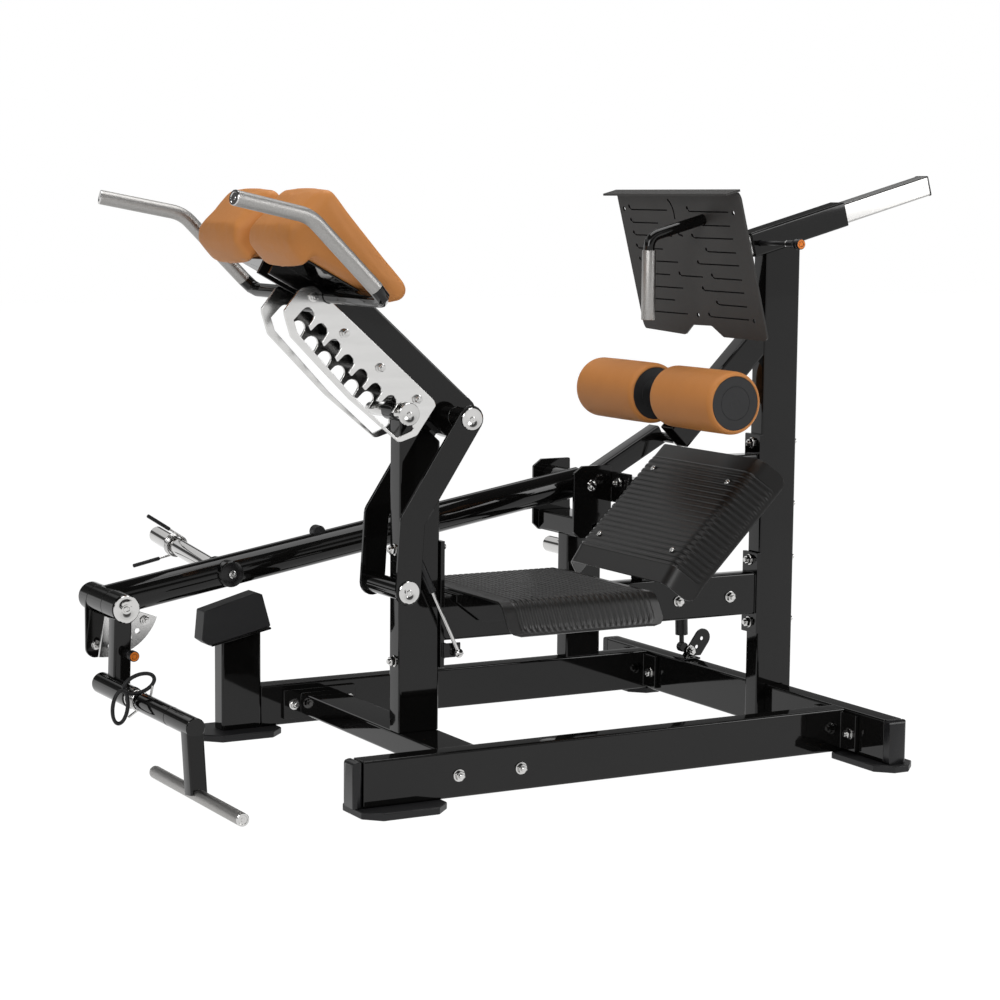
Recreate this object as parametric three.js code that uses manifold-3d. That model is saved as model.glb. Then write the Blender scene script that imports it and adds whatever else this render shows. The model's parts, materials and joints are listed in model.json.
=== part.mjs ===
// Hip extension bench: a welded base of rectangular tube, a pad carriage on a notched rack,
// ribbed standing plates, an adjustable foot plate, ankle rollers and a plate-loaded lever.
// Millimetres, +Z up, +X from the hand bar towards the tall post, Y = 0 on the user's centre plane.

import * as THREE from "three";
import Module from "manifold-3d";
import { mergeVertices } from "three/addons/utils/BufferGeometryUtils.js";

const wasm = await Module();
wasm.setup();

// Stock and fits
const tubeTall = 120;
const tubeNarrow = 60;
const tubeWall = 4;
const tubeCorner = 7;
const plateThick = 10;
const flangeThick = 12;
const fit = 0.3;
const turnFit = 0.6;
const weld = 0.001;
const overrun = 6;
const cornerRoomShare = 0.62;
const endRoomShare = 0.94;
const bendRoomShare = 0.48;
const roundSteps = 20;
const smallSteps = 14;
const smallRadius = 16;
const tubeSteps = 3;
const arcSteps = 4;
const bendSteps = 14;
const bendSides = 6;

// Base frame
const footThick = 20;
const beamStartX = 38;
const rearBeamX = 1548;
const nearBeamY = -380;
const farBeamY = 634;
const rearBeamNearY = -585;
const rearBeamFarY = 839;
const capLength = 26;
const crossBeamX = 388;
const crossBeamLift = 30;
const crossFlangeWide = 228;
const crossFlangeTall = 84;
const rearFlangeWide = 190;
const rearFlangeTall = 100;
const footLong = 240;
const footWide = 190;
const rearFootLong = 270;
const rearFootWide = 130;
const footChamfer = 42;
const frontFootX = 140;

// Posts and rails
const tallPostX = 1548.5;
const frontPostGap = 22;
const pinLugRadius = 25;
const midRailZ = 411;
const frontFlangeLow = 279;
const frontFlangeHigh = 622;
const tallFlangeTall = 234;
const flangeWide = 74;
const inclineRailZ = 753;
const crossBraceX = 1378;
const crossBraceZ = 668;
const earNearY = 440;
const earTall = 92;

// Stand and bumper
const standX = 148;
const bumperLong = 213;
const bumperTall = 142;
const bumperDeep = 60;
const bumperY = 622;
const bumperLowX = 21;
const bumperLowZ = 271;
const bumperCornerShares = [[0.1, 0], [1, 0.275], [0.878, 0.951], [0.793, 1], [0.042, 0.704], [0, 0.113]];
const bumperRound = 8;
const bumperLipThick = 6;
const bumperLipInset = 9;

// Ribbed standing plates
const stepRise = 14.5;
const stepTop = midRailZ + tubeTall / 2 + stepRise;
const stepStartX = 515;
const stepEndX = 952;
const stepLip = 42;
const stepLipDegrees = 7;
const plateHalf = 250;
const skirtOut = 52;
const skirtDrop = 84;
const ribbedThick = 8;
const strapThick = 6;
const bracketStartX = 490;
const bracketEndX = 690;
const gussetDrop = 80;
const inclineOffset = 500;
const inclineLowX = 1048;
const inclineHighX = 1328;
const inclineLip = 54;
const inclineLipDegrees = 11;
const strapFootX = 1090;
const strapFootLong = 70;
const strapLegLong = 110;
const strapLegShift = 26;

// Pad carriage: links, top pivot, arm and rack
const lowPivotX = 314;
const lowPivotZ = 503.5;
const topPivotX = 498;
const topPivotZ = 953;
const linkBendX = 326;
const linkBendZ = 690;
const linkWide = 72;
const linkY = 105;
const pivotTubeRadius = 27;
const shaftRadius = 12;
const discRadius = 30;
const discThick = 6;
const armSlopeDegrees = 41.5;
const armLong = 531;
const rackInnerY = 67;
const rackThick = 8;
const rackTop = 24;
const rackBottom = 181;
const rackStart = 80;
const rackEnd = 588;
const rackRound = 30;
const notchStart = 142;
const notchPitch = 55;
const notchDepth = 18;
const notchSagShares = [0, 0.1, 0.15, 0.13, 0.11, 0.06, 0, -0.06];
const pinRadius = 17;
const pinDrop = 100;
const notchPlay = 2;
const channelDrop = 168;
const windowStart = 101;
const windowCorner = 20;
const windowEnd = 548;
const spacerRadius = 9;
const spacerStart = 168;
const spacerCount = 4;
const spacerEnd = 12;
const spacerPitch = (armLong - spacerEnd - spacerStart) / (spacerCount - 1);
const spacerSink = 1;
const pinNearY = -88;
const pinFarY = 136;
const strutY = -59;
const strutRadius = 11;
const strutRodRadius = 5;
const strutTopX = 330;
const strutTopZ = 662;
const strutFootX = 492;
const strutFootZ = 320;
const strutSplitShare = 0.5;
const strutEye = 13;
const strutBoreShare = 0.55;
const strutOverlapShare = 0.3;

// Pads and handles
const padGap = 63;
const padWide = 270;
const padLong = 340;
const padTall = 291;
const padLowX = -120;
const padLowZ = 1265;
const padEdge = 22;
const padCrown = 6;
const padArcSpots = 6;
const padLeastRadius = 3;
const padEdgeRows = 4;
const padFaceRows = 3;
const trayThick = 5;
const trayWide = 200;
const trayLong = 190;
const trayShift = 8;
const cheekLong = 150;
const cheekTall = 44;
const barRadius = 19;
const barHalf = 403;
const barTipX = -323;
const barTipZ = 1525;
const barTipSpread = 46;
const barBendX = -107;
const barBendZ = 1483;
const barSplitShare = 0.14;
const barCrossX = 100;
const barCrossZ = 1279;

// Telescope, foot plate and their slope
const slopeDegrees = 15.5;
const sleeveX = 1608;
const sleeveZ = 1454.3;
const sleeveSize = 70;
const sleeveWall = 6;
const sleeveFront = -172;
const sleeveBack = 163;
const innerFront = -366;
const innerBack = 476;
const footPlateWide = 626;
const footPlateUp = 213;
const footPlateDown = 210;
const footPlateThick = 6;
const footPlateLip = 46;
const footPlateCorner = 30;
const footPlateNotch = 96;
const footHandleY = -116;
const footHandleUp = 130;
const footHandleReach = 181;
const footHandleRadius = 15;
const footGripRadius = 19;
const footHandleNeck = 35;
const footGripLong = 190;
const pinAlong = -150;
const pullPinRadius = 7;
const pullHeadRadius = 15;
const pullShankLong = 176;
const pullHeadLong = 26;
const pullSeat = 0.6;

// Ankle rollers
const rollerX = 1174;
const rollerZ = 991;
const rollerRadius = 86;
const rollerLong = 302;
const rollerGap = 92;
const rollerRound = 12;
const rollerSteps = 32;
const easedShare = 0.29;
const rollerCapRadius = 74;
const rollerCapSink = 5;
const axleRadius = 12.5;
const rollerPlay = 0.5;
const rollerArmDeep = 80;
const rollerArmOffset = 281;
const rollerArmEndX = 1208;
const rollerLugRadius = 26;

// Lever, its bracket and damper
const leverX = 1269;
const leverZ = 675;
const leverY = 622;
const leverRadius = 45;
const leverHubRadius = 38;
const leverSlopeDegrees = 9.9;
const leverPostX = 1284;
const leverPostTop = 520;
const bracketNearY = 550;
const bracketFarY = 784;
const bracketBottom = 515;
const bracketTop = 735;
const bracketLow = 1226;
const bracketHigh = 1340;
const rearArmSlopeDegrees = 28.8;
const rearArmLong = 300;
const rearArmSize = 60;
const rearArmY = 588;
const damperX = 1532;
const damperZ = 811;
const damperY = 465;
const anchorX = 1555;
const anchorRise = 30;
const anchorZ = footThick + tubeTall + anchorRise;
const damperRadius = 19.5;
const damperBore = 17;
const damperRodRadius = 8;
const damperLong = 300;
const damperEye = 15;
const damperEyeHalf = 8;
const damperNeck = 38;
const rodReach = 380;
const anchorPlateX = 1582;
const anchorPlateWide = 56;
const anchorPlateLong = 68;
const anchorLeanDegrees = 36;
const anchorHole = 6;
const anchorHoleShares = [0.5, 0.95];
const anchorPin = 7;
const neckShare = 0.5;
const hornX = 100;
const hornRootY = 680;
const hornLong = 450;
const hornRadius = 25;
const hornTiltDegrees = 5.7;
const hornTubeRadius = 37;
const hornTubeY = 560;
const storageHornZ = 463;
const storageHornX = 1284;
const storageHornLong = 150;

// Handle link and hand bar
const knuckleX = -250;
const knuckleZ = 414;
const knuckleRadius = 40;
const knuckleNearY = 469;
const knuckleFrom = 559;
const knuckleTo = 672;
const knuckleFarY = 738;
const linkTubeY = 510;
const linkTubeSize = 50;
const linkTubeLowX = -257;
const linkPlateY = 682;
const linkPlateWide = 57;
const linkPlateX = -262;
const linkPlateZ = 248;
const handleX = -280;
const handleZ = 195;
const handleShaftRadius = 19;
const handleTubeRadius = 26;
const linkSleeveRadius = 30;
const linkSleeveNearY = 345;
const handleShaftFarY = 580;
const handleSleeveFarY = 262;
const handleNearY = -97;
const dropArmThick = 48;
const dropArmWide = 50;
const barCentreX = -278;
const barCentreY = -100;
const handBarLong = 580;
const handBarRadius = 17;
const handBarZ = 24;
const sectorRadius = 157;
const sectorHoleRadius = 126;
const sectorY = 618;
const sectorThick = 8;
const sectorHole = 7.5;
const sectorHoleCount = 4;
const sectorStartDegrees = -99;
const sectorPinDegrees = -85.5;
const sectorEndDegrees = -20;
const sectorStepDegrees = 13.5;

// Spring collars
const curlCount = 3;
const curlSteps = 8;
const hornLegSteps = 3;
const handleLegSteps = 1;
const wireSides = 5;
const wireRadius = 3.6;
const curlPitch = 9.4;
const curlPlay = 0.2;
const hornLegLong = 134;
const handleLegLong = 46;
const hornCollarAlong = 290;
const hornCollarTurnDegrees = 10;
const handleCollarY = 283;
const handleCollarTurnDegrees = 34;

// Finishes
function finish(color, roughness, metalness) {
  return new THREE.MeshStandardMaterial({ color, roughness, metalness });
}
const blackPaint = finish(0x17181a, 0.28, 0.2);
const chrome = finish(0xc9ccce, 0.16, 1);
const knurled = finish(0x9b9b99, 0.45, 1);
const rubber = finish(0x1d1e1f, 0.85, 0);
const leather = finish(0xc87a3c, 0.55, 0);
const plastic = finish(0x141414, 0.4, 0);

const radians = (degrees) => THREE.MathUtils.degToRad(degrees);
const slopeDirection = (degrees) => [Math.cos(radians(degrees)), Math.sin(radians(degrees))];

// Joins and cuts work on closed solids made from the geometry classes.
function solid(geometry) {
  const plain = geometry.index ? geometry.toNonIndexed() : geometry.clone();
  plain.deleteAttribute("normal");
  plain.deleteAttribute("uv");
  const merged = mergeVertices(plain, weld);
  const corners = [];
  for (let index = 0; index < merged.index.count; index += 3) {
    const [a, b, c] = merged.index.array.slice(index, index + 3);
    if (a !== b && b !== c && c !== a) corners.push(a, b, c);
  }
  return new wasm.Manifold(new wasm.Mesh({
    numProp: 3,
    vertProperties: new Float32Array(merged.attributes.position.array),
    triVerts: new Uint32Array(corners),
  }));
}

function surface(body) {
  const mesh = body.getMesh();
  const geometry = new THREE.BufferGeometry();
  geometry.setAttribute("position", new THREE.BufferAttribute(mesh.vertProperties, 3));
  geometry.setIndex(new THREE.BufferAttribute(mesh.triVerts, 1));
  return geometry;
}

function piece(group, name, body, material) {
  const geometry = body instanceof THREE.BufferGeometry ? body : surface(body);
  const mesh = new THREE.Mesh(geometry, material.clone());
  mesh.name = name;
  group.add(mesh);
  return mesh;
}

// A box between two corners
function block(low, high) {
  const size = high.map((value, axis) => value - low[axis]);
  const centre = high.map((value, axis) => (value + low[axis]) / 2);
  return solid(new THREE.BoxGeometry(...size).translate(...centre));
}

// A round bar along one axis, from one place to another
function round(axis, radius, centre, from, to) {
  const steps = radius < smallRadius ? smallSteps : roundSteps;
  const geometry = new THREE.CylinderGeometry(radius, radius, to - from, steps);
  const middle = (from + to) / 2;
  if (axis === "x") geometry.rotateZ(Math.PI / 2).translate(middle, centre[0], centre[1]);
  if (axis === "y") geometry.translate(centre[0], middle, centre[1]);
  if (axis === "z") geometry.rotateX(Math.PI / 2).translate(centre[0], centre[1], middle);
  return solid(geometry);
}

// Outline with every corner rounded by an arc of its own radius
function roundedShape(points, radii) {
  const shape = new THREE.Shape();
  points.forEach((point, index) => {
    const before = points[(index + points.length - 1) % points.length];
    const after = points[(index + 1) % points.length];
    const corner = new THREE.Vector2(...point);
    const back = new THREE.Vector2(...before).sub(corner);
    const ahead = new THREE.Vector2(...after).sub(corner);
    const half = Math.acos(back.dot(ahead) / back.length() / ahead.length()) / 2;
    const wanted = (Array.isArray(radii) ? radii[index] : radii) / Math.tan(half);
    const reach = Math.min(wanted, cornerRoomShare * Math.min(back.length(), ahead.length()));
    const radius = reach * Math.tan(half);
    const bisector = back.normalize().add(ahead.normalize()).normalize();
    const centre = corner.clone().addScaledVector(bisector, radius / Math.sin(half));
    const start = corner.clone().addScaledVector(back, reach).sub(centre).angle();
    const end = corner.clone().addScaledVector(ahead, reach).sub(centre).angle();
    shape.absarc(centre.x, centre.y, radius, start, end, back.cross(ahead) > 0);
  });
  return shape;
}

function rectangle(wide, tall, corner) {
  const [x, y] = [wide / 2, tall / 2];
  const shape = new THREE.Shape();
  shape.moveTo(corner - x, -y);
  shape.lineTo(x - corner, -y);
  shape.quadraticCurveTo(x, -y, x, corner - y);
  shape.lineTo(x, y - corner);
  shape.quadraticCurveTo(x, y, x - corner, y);
  shape.lineTo(corner - x, y);
  shape.quadraticCurveTo(-x, y, -x, y - corner);
  shape.lineTo(-x, corner - y);
  shape.quadraticCurveTo(-x, -y, corner - x, -y);
  return shape;
}

// Rectangular tube along its own Z axis, open at both ends
function tube(wide, tall, length, wall = tubeWall) {
  const outer = rectangle(wide, tall, tubeCorner);
  outer.holes.push(rectangle(wide - 2 * wall, tall - 2 * wall, tubeCorner - wall / 2));
  return new THREE.ExtrudeGeometry(outer, { depth: length, bevelEnabled: false, curveSegments: tubeSteps });
}

function filled(wide, tall, length) {
  return new THREE.ExtrudeGeometry(rectangle(wide, tall, tubeCorner), {
    depth: length, bevelEnabled: false, curveSegments: tubeSteps,
  });
}

// Tubes along the machine's axes: the first size lies across, the second is upright
function tubeAlongX(geometry, from, y, z) {
  return solid(geometry.rotateY(Math.PI / 2).rotateX(Math.PI / 2).translate(from, y, z));
}
function tubeAlongY(geometry, x, from, z) {
  return solid(geometry.rotateX(-Math.PI / 2).translate(x, from, z));
}
function tubeAlongZ(geometry, x, y, from) {
  return solid(geometry.translate(x, y, from));
}

// Flat plate cut from an outline in the X-Z plane, between two Y places
function sidePlate(shape, from, to) {
  const geometry = new THREE.ExtrudeGeometry(shape, {
    depth: to - from, bevelEnabled: false, curveSegments: arcSteps,
  });
  return solid(geometry.rotateX(Math.PI / 2).translate(0, to, 0));
}

// Round tube along a bent path of straight runs and eased corners
function bentTube(points, radius, bend) {
  const path = new THREE.CurvePath();
  let last = points[0].clone();
  for (let index = 1; index < points.length - 1; index++) {
    const corner = points[index];
    const back = points[index - 1].clone().sub(corner);
    const ahead = points[index + 1].clone().sub(corner);
    const backRoom = (index === 1 ? endRoomShare : bendRoomShare) * back.length();
    const aheadRoom = (index === points.length - 2 ? endRoomShare : bendRoomShare) * ahead.length();
    const reach = Math.min(bend, backRoom, aheadRoom);
    const start = corner.clone().addScaledVector(back.normalize(), reach);
    const end = corner.clone().addScaledVector(ahead.normalize(), reach);
    path.add(new THREE.LineCurve3(last, start));
    path.add(new THREE.QuadraticBezierCurve3(start, corner, end));
    last = end;
  }
  path.add(new THREE.LineCurve3(last, points[points.length - 1].clone()));
  const section = new THREE.Shape();
  section.absarc(0, 0, radius, 0, 2 * Math.PI);
  return solid(new THREE.ExtrudeGeometry(section, {
    steps: bendSteps, extrudePath: path, curveSegments: bendSides,
  }));
}

const at = (x, y, z) => new THREE.Vector3(x, y, z);
const beamZ = footThick + tubeTall / 2;
const machine = new THREE.Group();

// Base frame: two long beams joined by flanges to the rear beam and the flat front cross beam
const base = new THREE.Group();
machine.add(base);
const rearBeamFront = rearBeamX - tubeNarrow / 2;
const rearFlangeFace = rearBeamFront - fit;
const standStartX = standX - tubeTall / 2;

function longBeam(startX, y) {
  const hollow = [tubeNarrow - 2 * tubeWall, tubeTall - 2 * tubeWall];
  const beam = tubeAlongX(tube(tubeNarrow, tubeTall, rearFlangeFace - startX), startX, y, beamZ);
  const flange = block(
    [rearFlangeFace - flangeThick, y - rearFlangeWide / 2, beamZ - rearFlangeTall / 2],
    [rearFlangeFace, y + rearFlangeWide / 2, beamZ + rearFlangeTall / 2],
  );
  const opening = block(
    [rearFlangeFace - flangeThick - overrun, y - hollow[0] / 2, beamZ - hollow[1] / 2],
    [rearFlangeFace + overrun, y + hollow[0] / 2, beamZ + hollow[1] / 2],
  );
  return beam.add(flange.subtract(opening));
}
piece(base, "near_beam", longBeam(beamStartX, nearBeamY), blackPaint);
piece(base, "far_beam", longBeam(standStartX + tubeTall + fit, farBeamY), blackPaint);
piece(base, "rear_beam", tubeAlongY(tube(tubeNarrow, tubeTall, rearBeamFarY - rearBeamNearY),
  rearBeamX, rearBeamNearY, beamZ), blackPaint);

// Domed plastic caps close the open beam ends
function domedCap() {
  const profile = (wide) => roundedShape(
    [[-wide / 2, 0], [wide / 2, 0], [wide / 2, capLength], [-wide / 2, capLength]],
    [fit, capLength / 2, capLength / 2, fit],
  );
  const across = new THREE.ExtrudeGeometry(profile(tubeNarrow), {
    depth: tubeTall, bevelEnabled: false, curveSegments: arcSteps,
  });
  const upright = new THREE.ExtrudeGeometry(profile(tubeTall), {
    depth: tubeNarrow, bevelEnabled: false, curveSegments: arcSteps,
  });
  across.rotateX(Math.PI / 2).translate(0, tubeTall / 2, 0);
  upright.rotateX(Math.PI / 2).translate(0, tubeNarrow / 2, 0).rotateZ(Math.PI / 2);
  return surface(solid(across).intersect(solid(upright)).intersect(
    solid(filled(tubeNarrow, tubeTall, capLength)),
  ));
}
const nearCap = domedCap().rotateY(Math.PI / 2).rotateX(Math.PI / 2).rotateZ(Math.PI);
piece(base, "near_beam_cap", nearCap.translate(beamStartX - fit, nearBeamY, beamZ), plastic);
const rearCapNear = domedCap().rotateX(Math.PI / 2).translate(rearBeamX, rearBeamNearY - fit, beamZ);
piece(base, "rear_cap_near", rearCapNear, plastic);
const rearCapFar = domedCap().rotateX(-Math.PI / 2).translate(rearBeamX, rearBeamFarY + fit, beamZ);
piece(base, "rear_cap_far", rearCapFar, plastic);

// Front cross beam lies flat between the long beams and carries the front post
const crossStart = nearBeamY + tubeNarrow / 2 + fit;
const crossEnd = farBeamY - tubeNarrow / 2 - fit;
const crossZ = footThick + crossBeamLift + tubeNarrow / 2;
function crossBeam() {
  let body = tubeAlongY(tube(tubeTall, tubeNarrow, crossEnd - crossStart), crossBeamX, crossStart, crossZ);
  for (const [from, to] of [[crossStart, crossStart + flangeThick], [crossEnd - flangeThick, crossEnd]]) {
    const flange = block([crossBeamX - crossFlangeWide / 2, from, crossZ - crossFlangeTall / 2],
      [crossBeamX + crossFlangeWide / 2, to, crossZ + crossFlangeTall / 2]);
    const opening = block(
      [crossBeamX - tubeTall / 2 + tubeWall, from - overrun, crossZ - tubeNarrow / 2 + tubeWall],
      [crossBeamX + tubeTall / 2 - tubeWall, to + overrun, crossZ + tubeNarrow / 2 - tubeWall],
    );
    body = body.add(flange.subtract(opening));
  }
  return body;
}
piece(base, "front_cross_beam", crossBeam(), blackPaint);

// Foot plates with cut corners
function footPlate(long, wide) {
  const x = long / 2;
  const y = wide / 2;
  const shape = new THREE.Shape();
  shape.moveTo(-x + footChamfer, -y);
  shape.lineTo(x - footChamfer, -y);
  shape.lineTo(x, -y + footChamfer);
  shape.lineTo(x, y - footChamfer);
  shape.lineTo(x - footChamfer, y);
  shape.lineTo(-x + footChamfer, y);
  shape.lineTo(-x, y - footChamfer);
  shape.lineTo(-x, -y + footChamfer);
  return new THREE.ExtrudeGeometry(shape, { depth: footThick - fit, bevelEnabled: false });
}
const feet = {
  foot_front_near: [frontFootX, nearBeamY, footLong, footWide],
  foot_front_far: [frontFootX, farBeamY, footLong, footWide],
  foot_rear_near: [rearBeamX, rearBeamNearY + rearFootLong / 3, rearFootWide, rearFootLong],
  foot_rear_far: [rearBeamX, rearBeamFarY - rearFootLong / 3, rearFootWide, rearFootLong],
};
for (const [name, [x, y, long, wide]] of Object.entries(feet)) {
  piece(base, name, footPlate(long, wide), rubber).position.set(x, y, 0);
}

// Stand under the lever with its tilted rubber bumper
const bumperCorners = bumperCornerShares.map(([x, z]) => [
  bumperLowX + x * bumperLong, bumperLowZ + z * bumperTall,
]);
const [bumperHeel, bumperToe] = bumperCorners;
const bumperRun = new THREE.Vector2(bumperToe[0] - bumperHeel[0], bumperToe[1] - bumperHeel[1]);
function underBumper(geometry) {
  geometry.translate(0, 0, -fit).rotateY(-bumperRun.angle());
  return solid(geometry.translate(bumperHeel[0], bumperY, bumperHeel[1]));
}
function standPost() {
  const postTall = bumperToe[1] - footThick;
  const post = tubeAlongZ(tube(tubeTall, tubeNarrow, postTall), standX, farBeamY, footThick);
  const lipLong = bumperRun.length() - bumperLipInset;
  const lip = new THREE.BoxGeometry(lipLong, bumperDeep, bumperLipThick);
  lip.translate(bumperLipInset + lipLong / 2, 0, -bumperLipThick / 2);
  const above = new THREE.BoxGeometry(3 * bumperLong, 3 * bumperDeep, 3 * bumperTall);
  above.translate(0, 0, (3 * bumperTall - bumperLipThick) / 2);
  return post.subtract(underBumper(above)).add(underBumper(lip))
    .subtract(round("z", bumperLipThick, [standX, farBeamY], footThick, bumperToe[1]));
}
piece(base, "bumper_stand", standPost(), blackPaint);
piece(base, "bumper", sidePlate(roundedShape(bumperCorners, bumperRound),
  bumperY - bumperDeep / 2, bumperY + bumperDeep / 2), rubber);

// Front post: the low pivot tube is welded to its face, the rack pin sits in a lug at its top
const pinX = topPivotX - notchStart * Math.cos(radians(armSlopeDegrees))
  - pinDrop * Math.sin(radians(armSlopeDegrees));
const pinZ = topPivotZ + notchStart * Math.sin(radians(armSlopeDegrees))
  - pinDrop * Math.cos(radians(armSlopeDegrees));
const crossTop = crossZ + tubeNarrow / 2;
function frontPost() {
  const post = tubeAlongZ(tube(tubeTall, tubeNarrow, topPivotZ - crossTop), crossBeamX, 0, crossTop + fit);
  const above = new THREE.BoxGeometry(6 * tubeTall, 2 * tubeTall, 2 * tubeTall);
  above.translate(0, 0, tubeTall / 2 - frontPostGap).rotateY(radians(armSlopeDegrees));
  above.translate(topPivotX, 0, topPivotZ);
  const lug = round("y", pinLugRadius, [pinX, pinZ], -tubeNarrow / 2, tubeNarrow / 2);
  const bore = round("y", pinRadius + fit, [pinX, pinZ], -tubeNarrow, tubeNarrow);
  const pivotTube = round("y", pivotTubeRadius, [lowPivotX, lowPivotZ],
    -linkY + plateThick / 2 + fit, linkY - plateThick / 2 - fit);
  const shaftBore = round("y", shaftRadius + fit, [lowPivotX, lowPivotZ], -linkY, linkY);
  return post.subtract(solid(above)).add(lug).add(pivotTube).subtract(bore).subtract(shaftBore);
}
piece(base, "front_post", frontPost(), blackPaint);

// Tall post stands over the rear beam and is cut along the slope of the telescope
const [slopeCos, slopeSin] = slopeDirection(slopeDegrees);
function sloped(geometry) {
  return geometry.rotateY(-radians(slopeDegrees)).translate(sleeveX, 0, sleeveZ);
}
function tallPost() {
  const post = tubeAlongZ(tube(tubeTall, tubeNarrow, sleeveZ - footThick), tallPostX, 0, footThick);
  const beamSlot = block(
    [rearBeamX - tubeNarrow / 2 - fit, -tubeNarrow, footThick - overrun],
    [rearBeamX + tubeNarrow / 2 + fit, tubeNarrow, footThick + tubeTall + fit],
  );
  const above = new THREE.BoxGeometry(6 * tubeTall, 2 * tubeTall, 2 * tubeTall);
  above.translate(0, 0, tubeTall - sleeveSize / 2 - fit);
  return post.subtract(beamSlot).subtract(solid(sloped(above)));
}
piece(base, "tall_post", tallPost(), blackPaint);

// Mid rail between the posts, with a tall flange at the front and a shorter one at the rear
const tallPostFront = tallPostX - tubeTall / 2;
const flangeHole = [tubeNarrow - 2 * tubeWall, tubeTall - 2 * tubeWall];
function railFlange(x, low, high, railZ) {
  return block([x, -flangeWide / 2, low], [x + flangeThick, flangeWide / 2, high]).subtract(block(
    [x - overrun, -flangeHole[0] / 2, railZ - flangeHole[1] / 2],
    [x + flangeThick + overrun, flangeHole[0] / 2, railZ + flangeHole[1] / 2],
  ));
}
const midStart = crossBeamX + tubeTall / 2 + fit;
const midEnd = tallPostFront - fit;
const plainRail = tubeAlongX(tube(tubeNarrow, tubeTall, midEnd - midStart), midStart, 0, midRailZ)
  .add(railFlange(midStart, frontFlangeLow, frontFlangeHigh, midRailZ))
  .add(railFlange(midEnd - flangeThick, midRailZ - tallFlangeTall / 2, midRailZ + tallFlangeTall / 2,
    midRailZ));

// Pivot shafts have a polished disc at each end and hold the two bent links
function pivotShaft(x, z) {
  const reach = linkY + plateThick / 2 + fit;
  return round("y", shaftRadius, [x, z], -reach, reach)
    .add(round("y", discRadius, [x, z], -reach - discThick, -reach))
    .add(round("y", discRadius, [x, z], reach, reach + discThick));
}
piece(base, "low_pivot_shaft", pivotShaft(lowPivotX, lowPivotZ), chrome);
piece(base, "top_pivot_shaft", pivotShaft(topPivotX, topPivotZ), chrome);
function link(y) {
  const half = linkWide / 2;
  const legs = [[lowPivotX, lowPivotZ], [linkBendX, linkBendZ], [topPivotX, topPivotZ]];
  let body = null;
  for (let index = 0; index < 2; index++) {
    const run = new THREE.Vector2(...legs[index + 1]).sub(new THREE.Vector2(...legs[index]));
    const strip = new THREE.BoxGeometry(run.length(), plateThick, linkWide);
    strip.translate(run.length() / 2, 0, 0).rotateY(-run.angle()).translate(legs[index][0], y,
      legs[index][1]);
    body = body ? body.add(solid(strip)) : solid(strip);
  }
  for (const [x, z] of legs) {
    body = body.add(round("y", half, [x, z], y - plateThick / 2, y + plateThick / 2));
  }
  for (const [x, z] of [legs[0], legs[2]]) {
    body = body.subtract(round("y", shaftRadius + fit, [x, z], y - linkY, y + linkY));
  }
  return body;
}
piece(base, "link_near", link(-linkY), blackPaint);
piece(base, "link_far", link(linkY), blackPaint);

// Gas strut between the near link and a bracket on the front flange
const strutRun = new THREE.Vector2(strutFootX - strutTopX, strutFootZ - strutTopZ);
function strutPart(fromShare, toShare, radius) {
  const length = strutRun.length() * (toShare - fromShare);
  const part = new THREE.CylinderGeometry(radius, radius, length, smallSteps);
  part.rotateZ(-Math.PI / 2).translate(strutRun.length() * fromShare + length / 2, 0, 0);
  return solid(part.rotateY(-strutRun.angle()).translate(strutTopX, strutY, strutTopZ));
}
piece(base, "strut_cylinder", strutPart(0, strutSplitShare, strutRadius)
  .add(round("y", strutEye, [strutTopX, strutTopZ], -linkY + plateThick / 2 + fit, strutY + strutRadius))
  .subtract(strutPart(strutSplitShare / 2, strutBoreShare, strutRodRadius + fit)), plastic);
piece(base, "strut_rod", strutPart(strutOverlapShare, 1, strutRodRadius)
  .add(solid(new THREE.SphereGeometry(strutEye, smallSteps,
    smallSteps - arcSteps).translate(strutFootX, strutY, strutFootZ))), chrome);
const strutBracketY = strutY + strutEye + fit;
const strutBracket = block(
  [midStart + flangeThick / 2, strutBracketY, strutFootZ - strutEye],
  [strutFootX + strutEye, strutBracketY + strapThick, strutFootZ + 2 * strutEye],
).add(block(
  [midStart + flangeThick / 2, strutBracketY, strutFootZ - strutEye],
  [midStart + flangeThick + strapThick, -tubeNarrow / 2, strutFootZ + 2 * strutEye],
));

// Step plate: a flat ribbed tread with flared sides, on a saddle bracket over the mid rail
function treadSection() {
  const half = plateHalf;
  const out = half + skirtOut;
  const shape = new THREE.Shape();
  shape.moveTo(-out, -skirtDrop);
  shape.lineTo(-half, 0);
  shape.lineTo(half, 0);
  shape.lineTo(out, -skirtDrop);
  shape.lineTo(out - ribbedThick, -skirtDrop);
  shape.lineTo(half - ribbedThick / 2, -ribbedThick);
  shape.lineTo(-half + ribbedThick / 2, -ribbedThick);
  shape.lineTo(-out + ribbedThick, -skirtDrop);
  return shape;
}
function tread(length, lip, lipDegrees) {
  const strip = new THREE.ExtrudeGeometry(treadSection(), { depth: length, bevelEnabled: false });
  const body = solid(strip.rotateX(Math.PI / 2).rotateZ(Math.PI / 2));
  const edge = new THREE.ExtrudeGeometry(treadSection(), { depth: lip, bevelEnabled: false });
  edge.rotateX(Math.PI / 2).rotateZ(Math.PI / 2).rotateY(radians(lipDegrees));
  return body.add(solid(edge.translate(length - ribbedThick / 4, 0, 0)));
}
piece(base, "step_plate", tread(stepEndX - stepStartX, stepLip, stepLipDegrees),
  rubber).position.set(stepStartX, 0, stepTop);
const midRailTop = midRailZ + tubeTall / 2;
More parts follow.
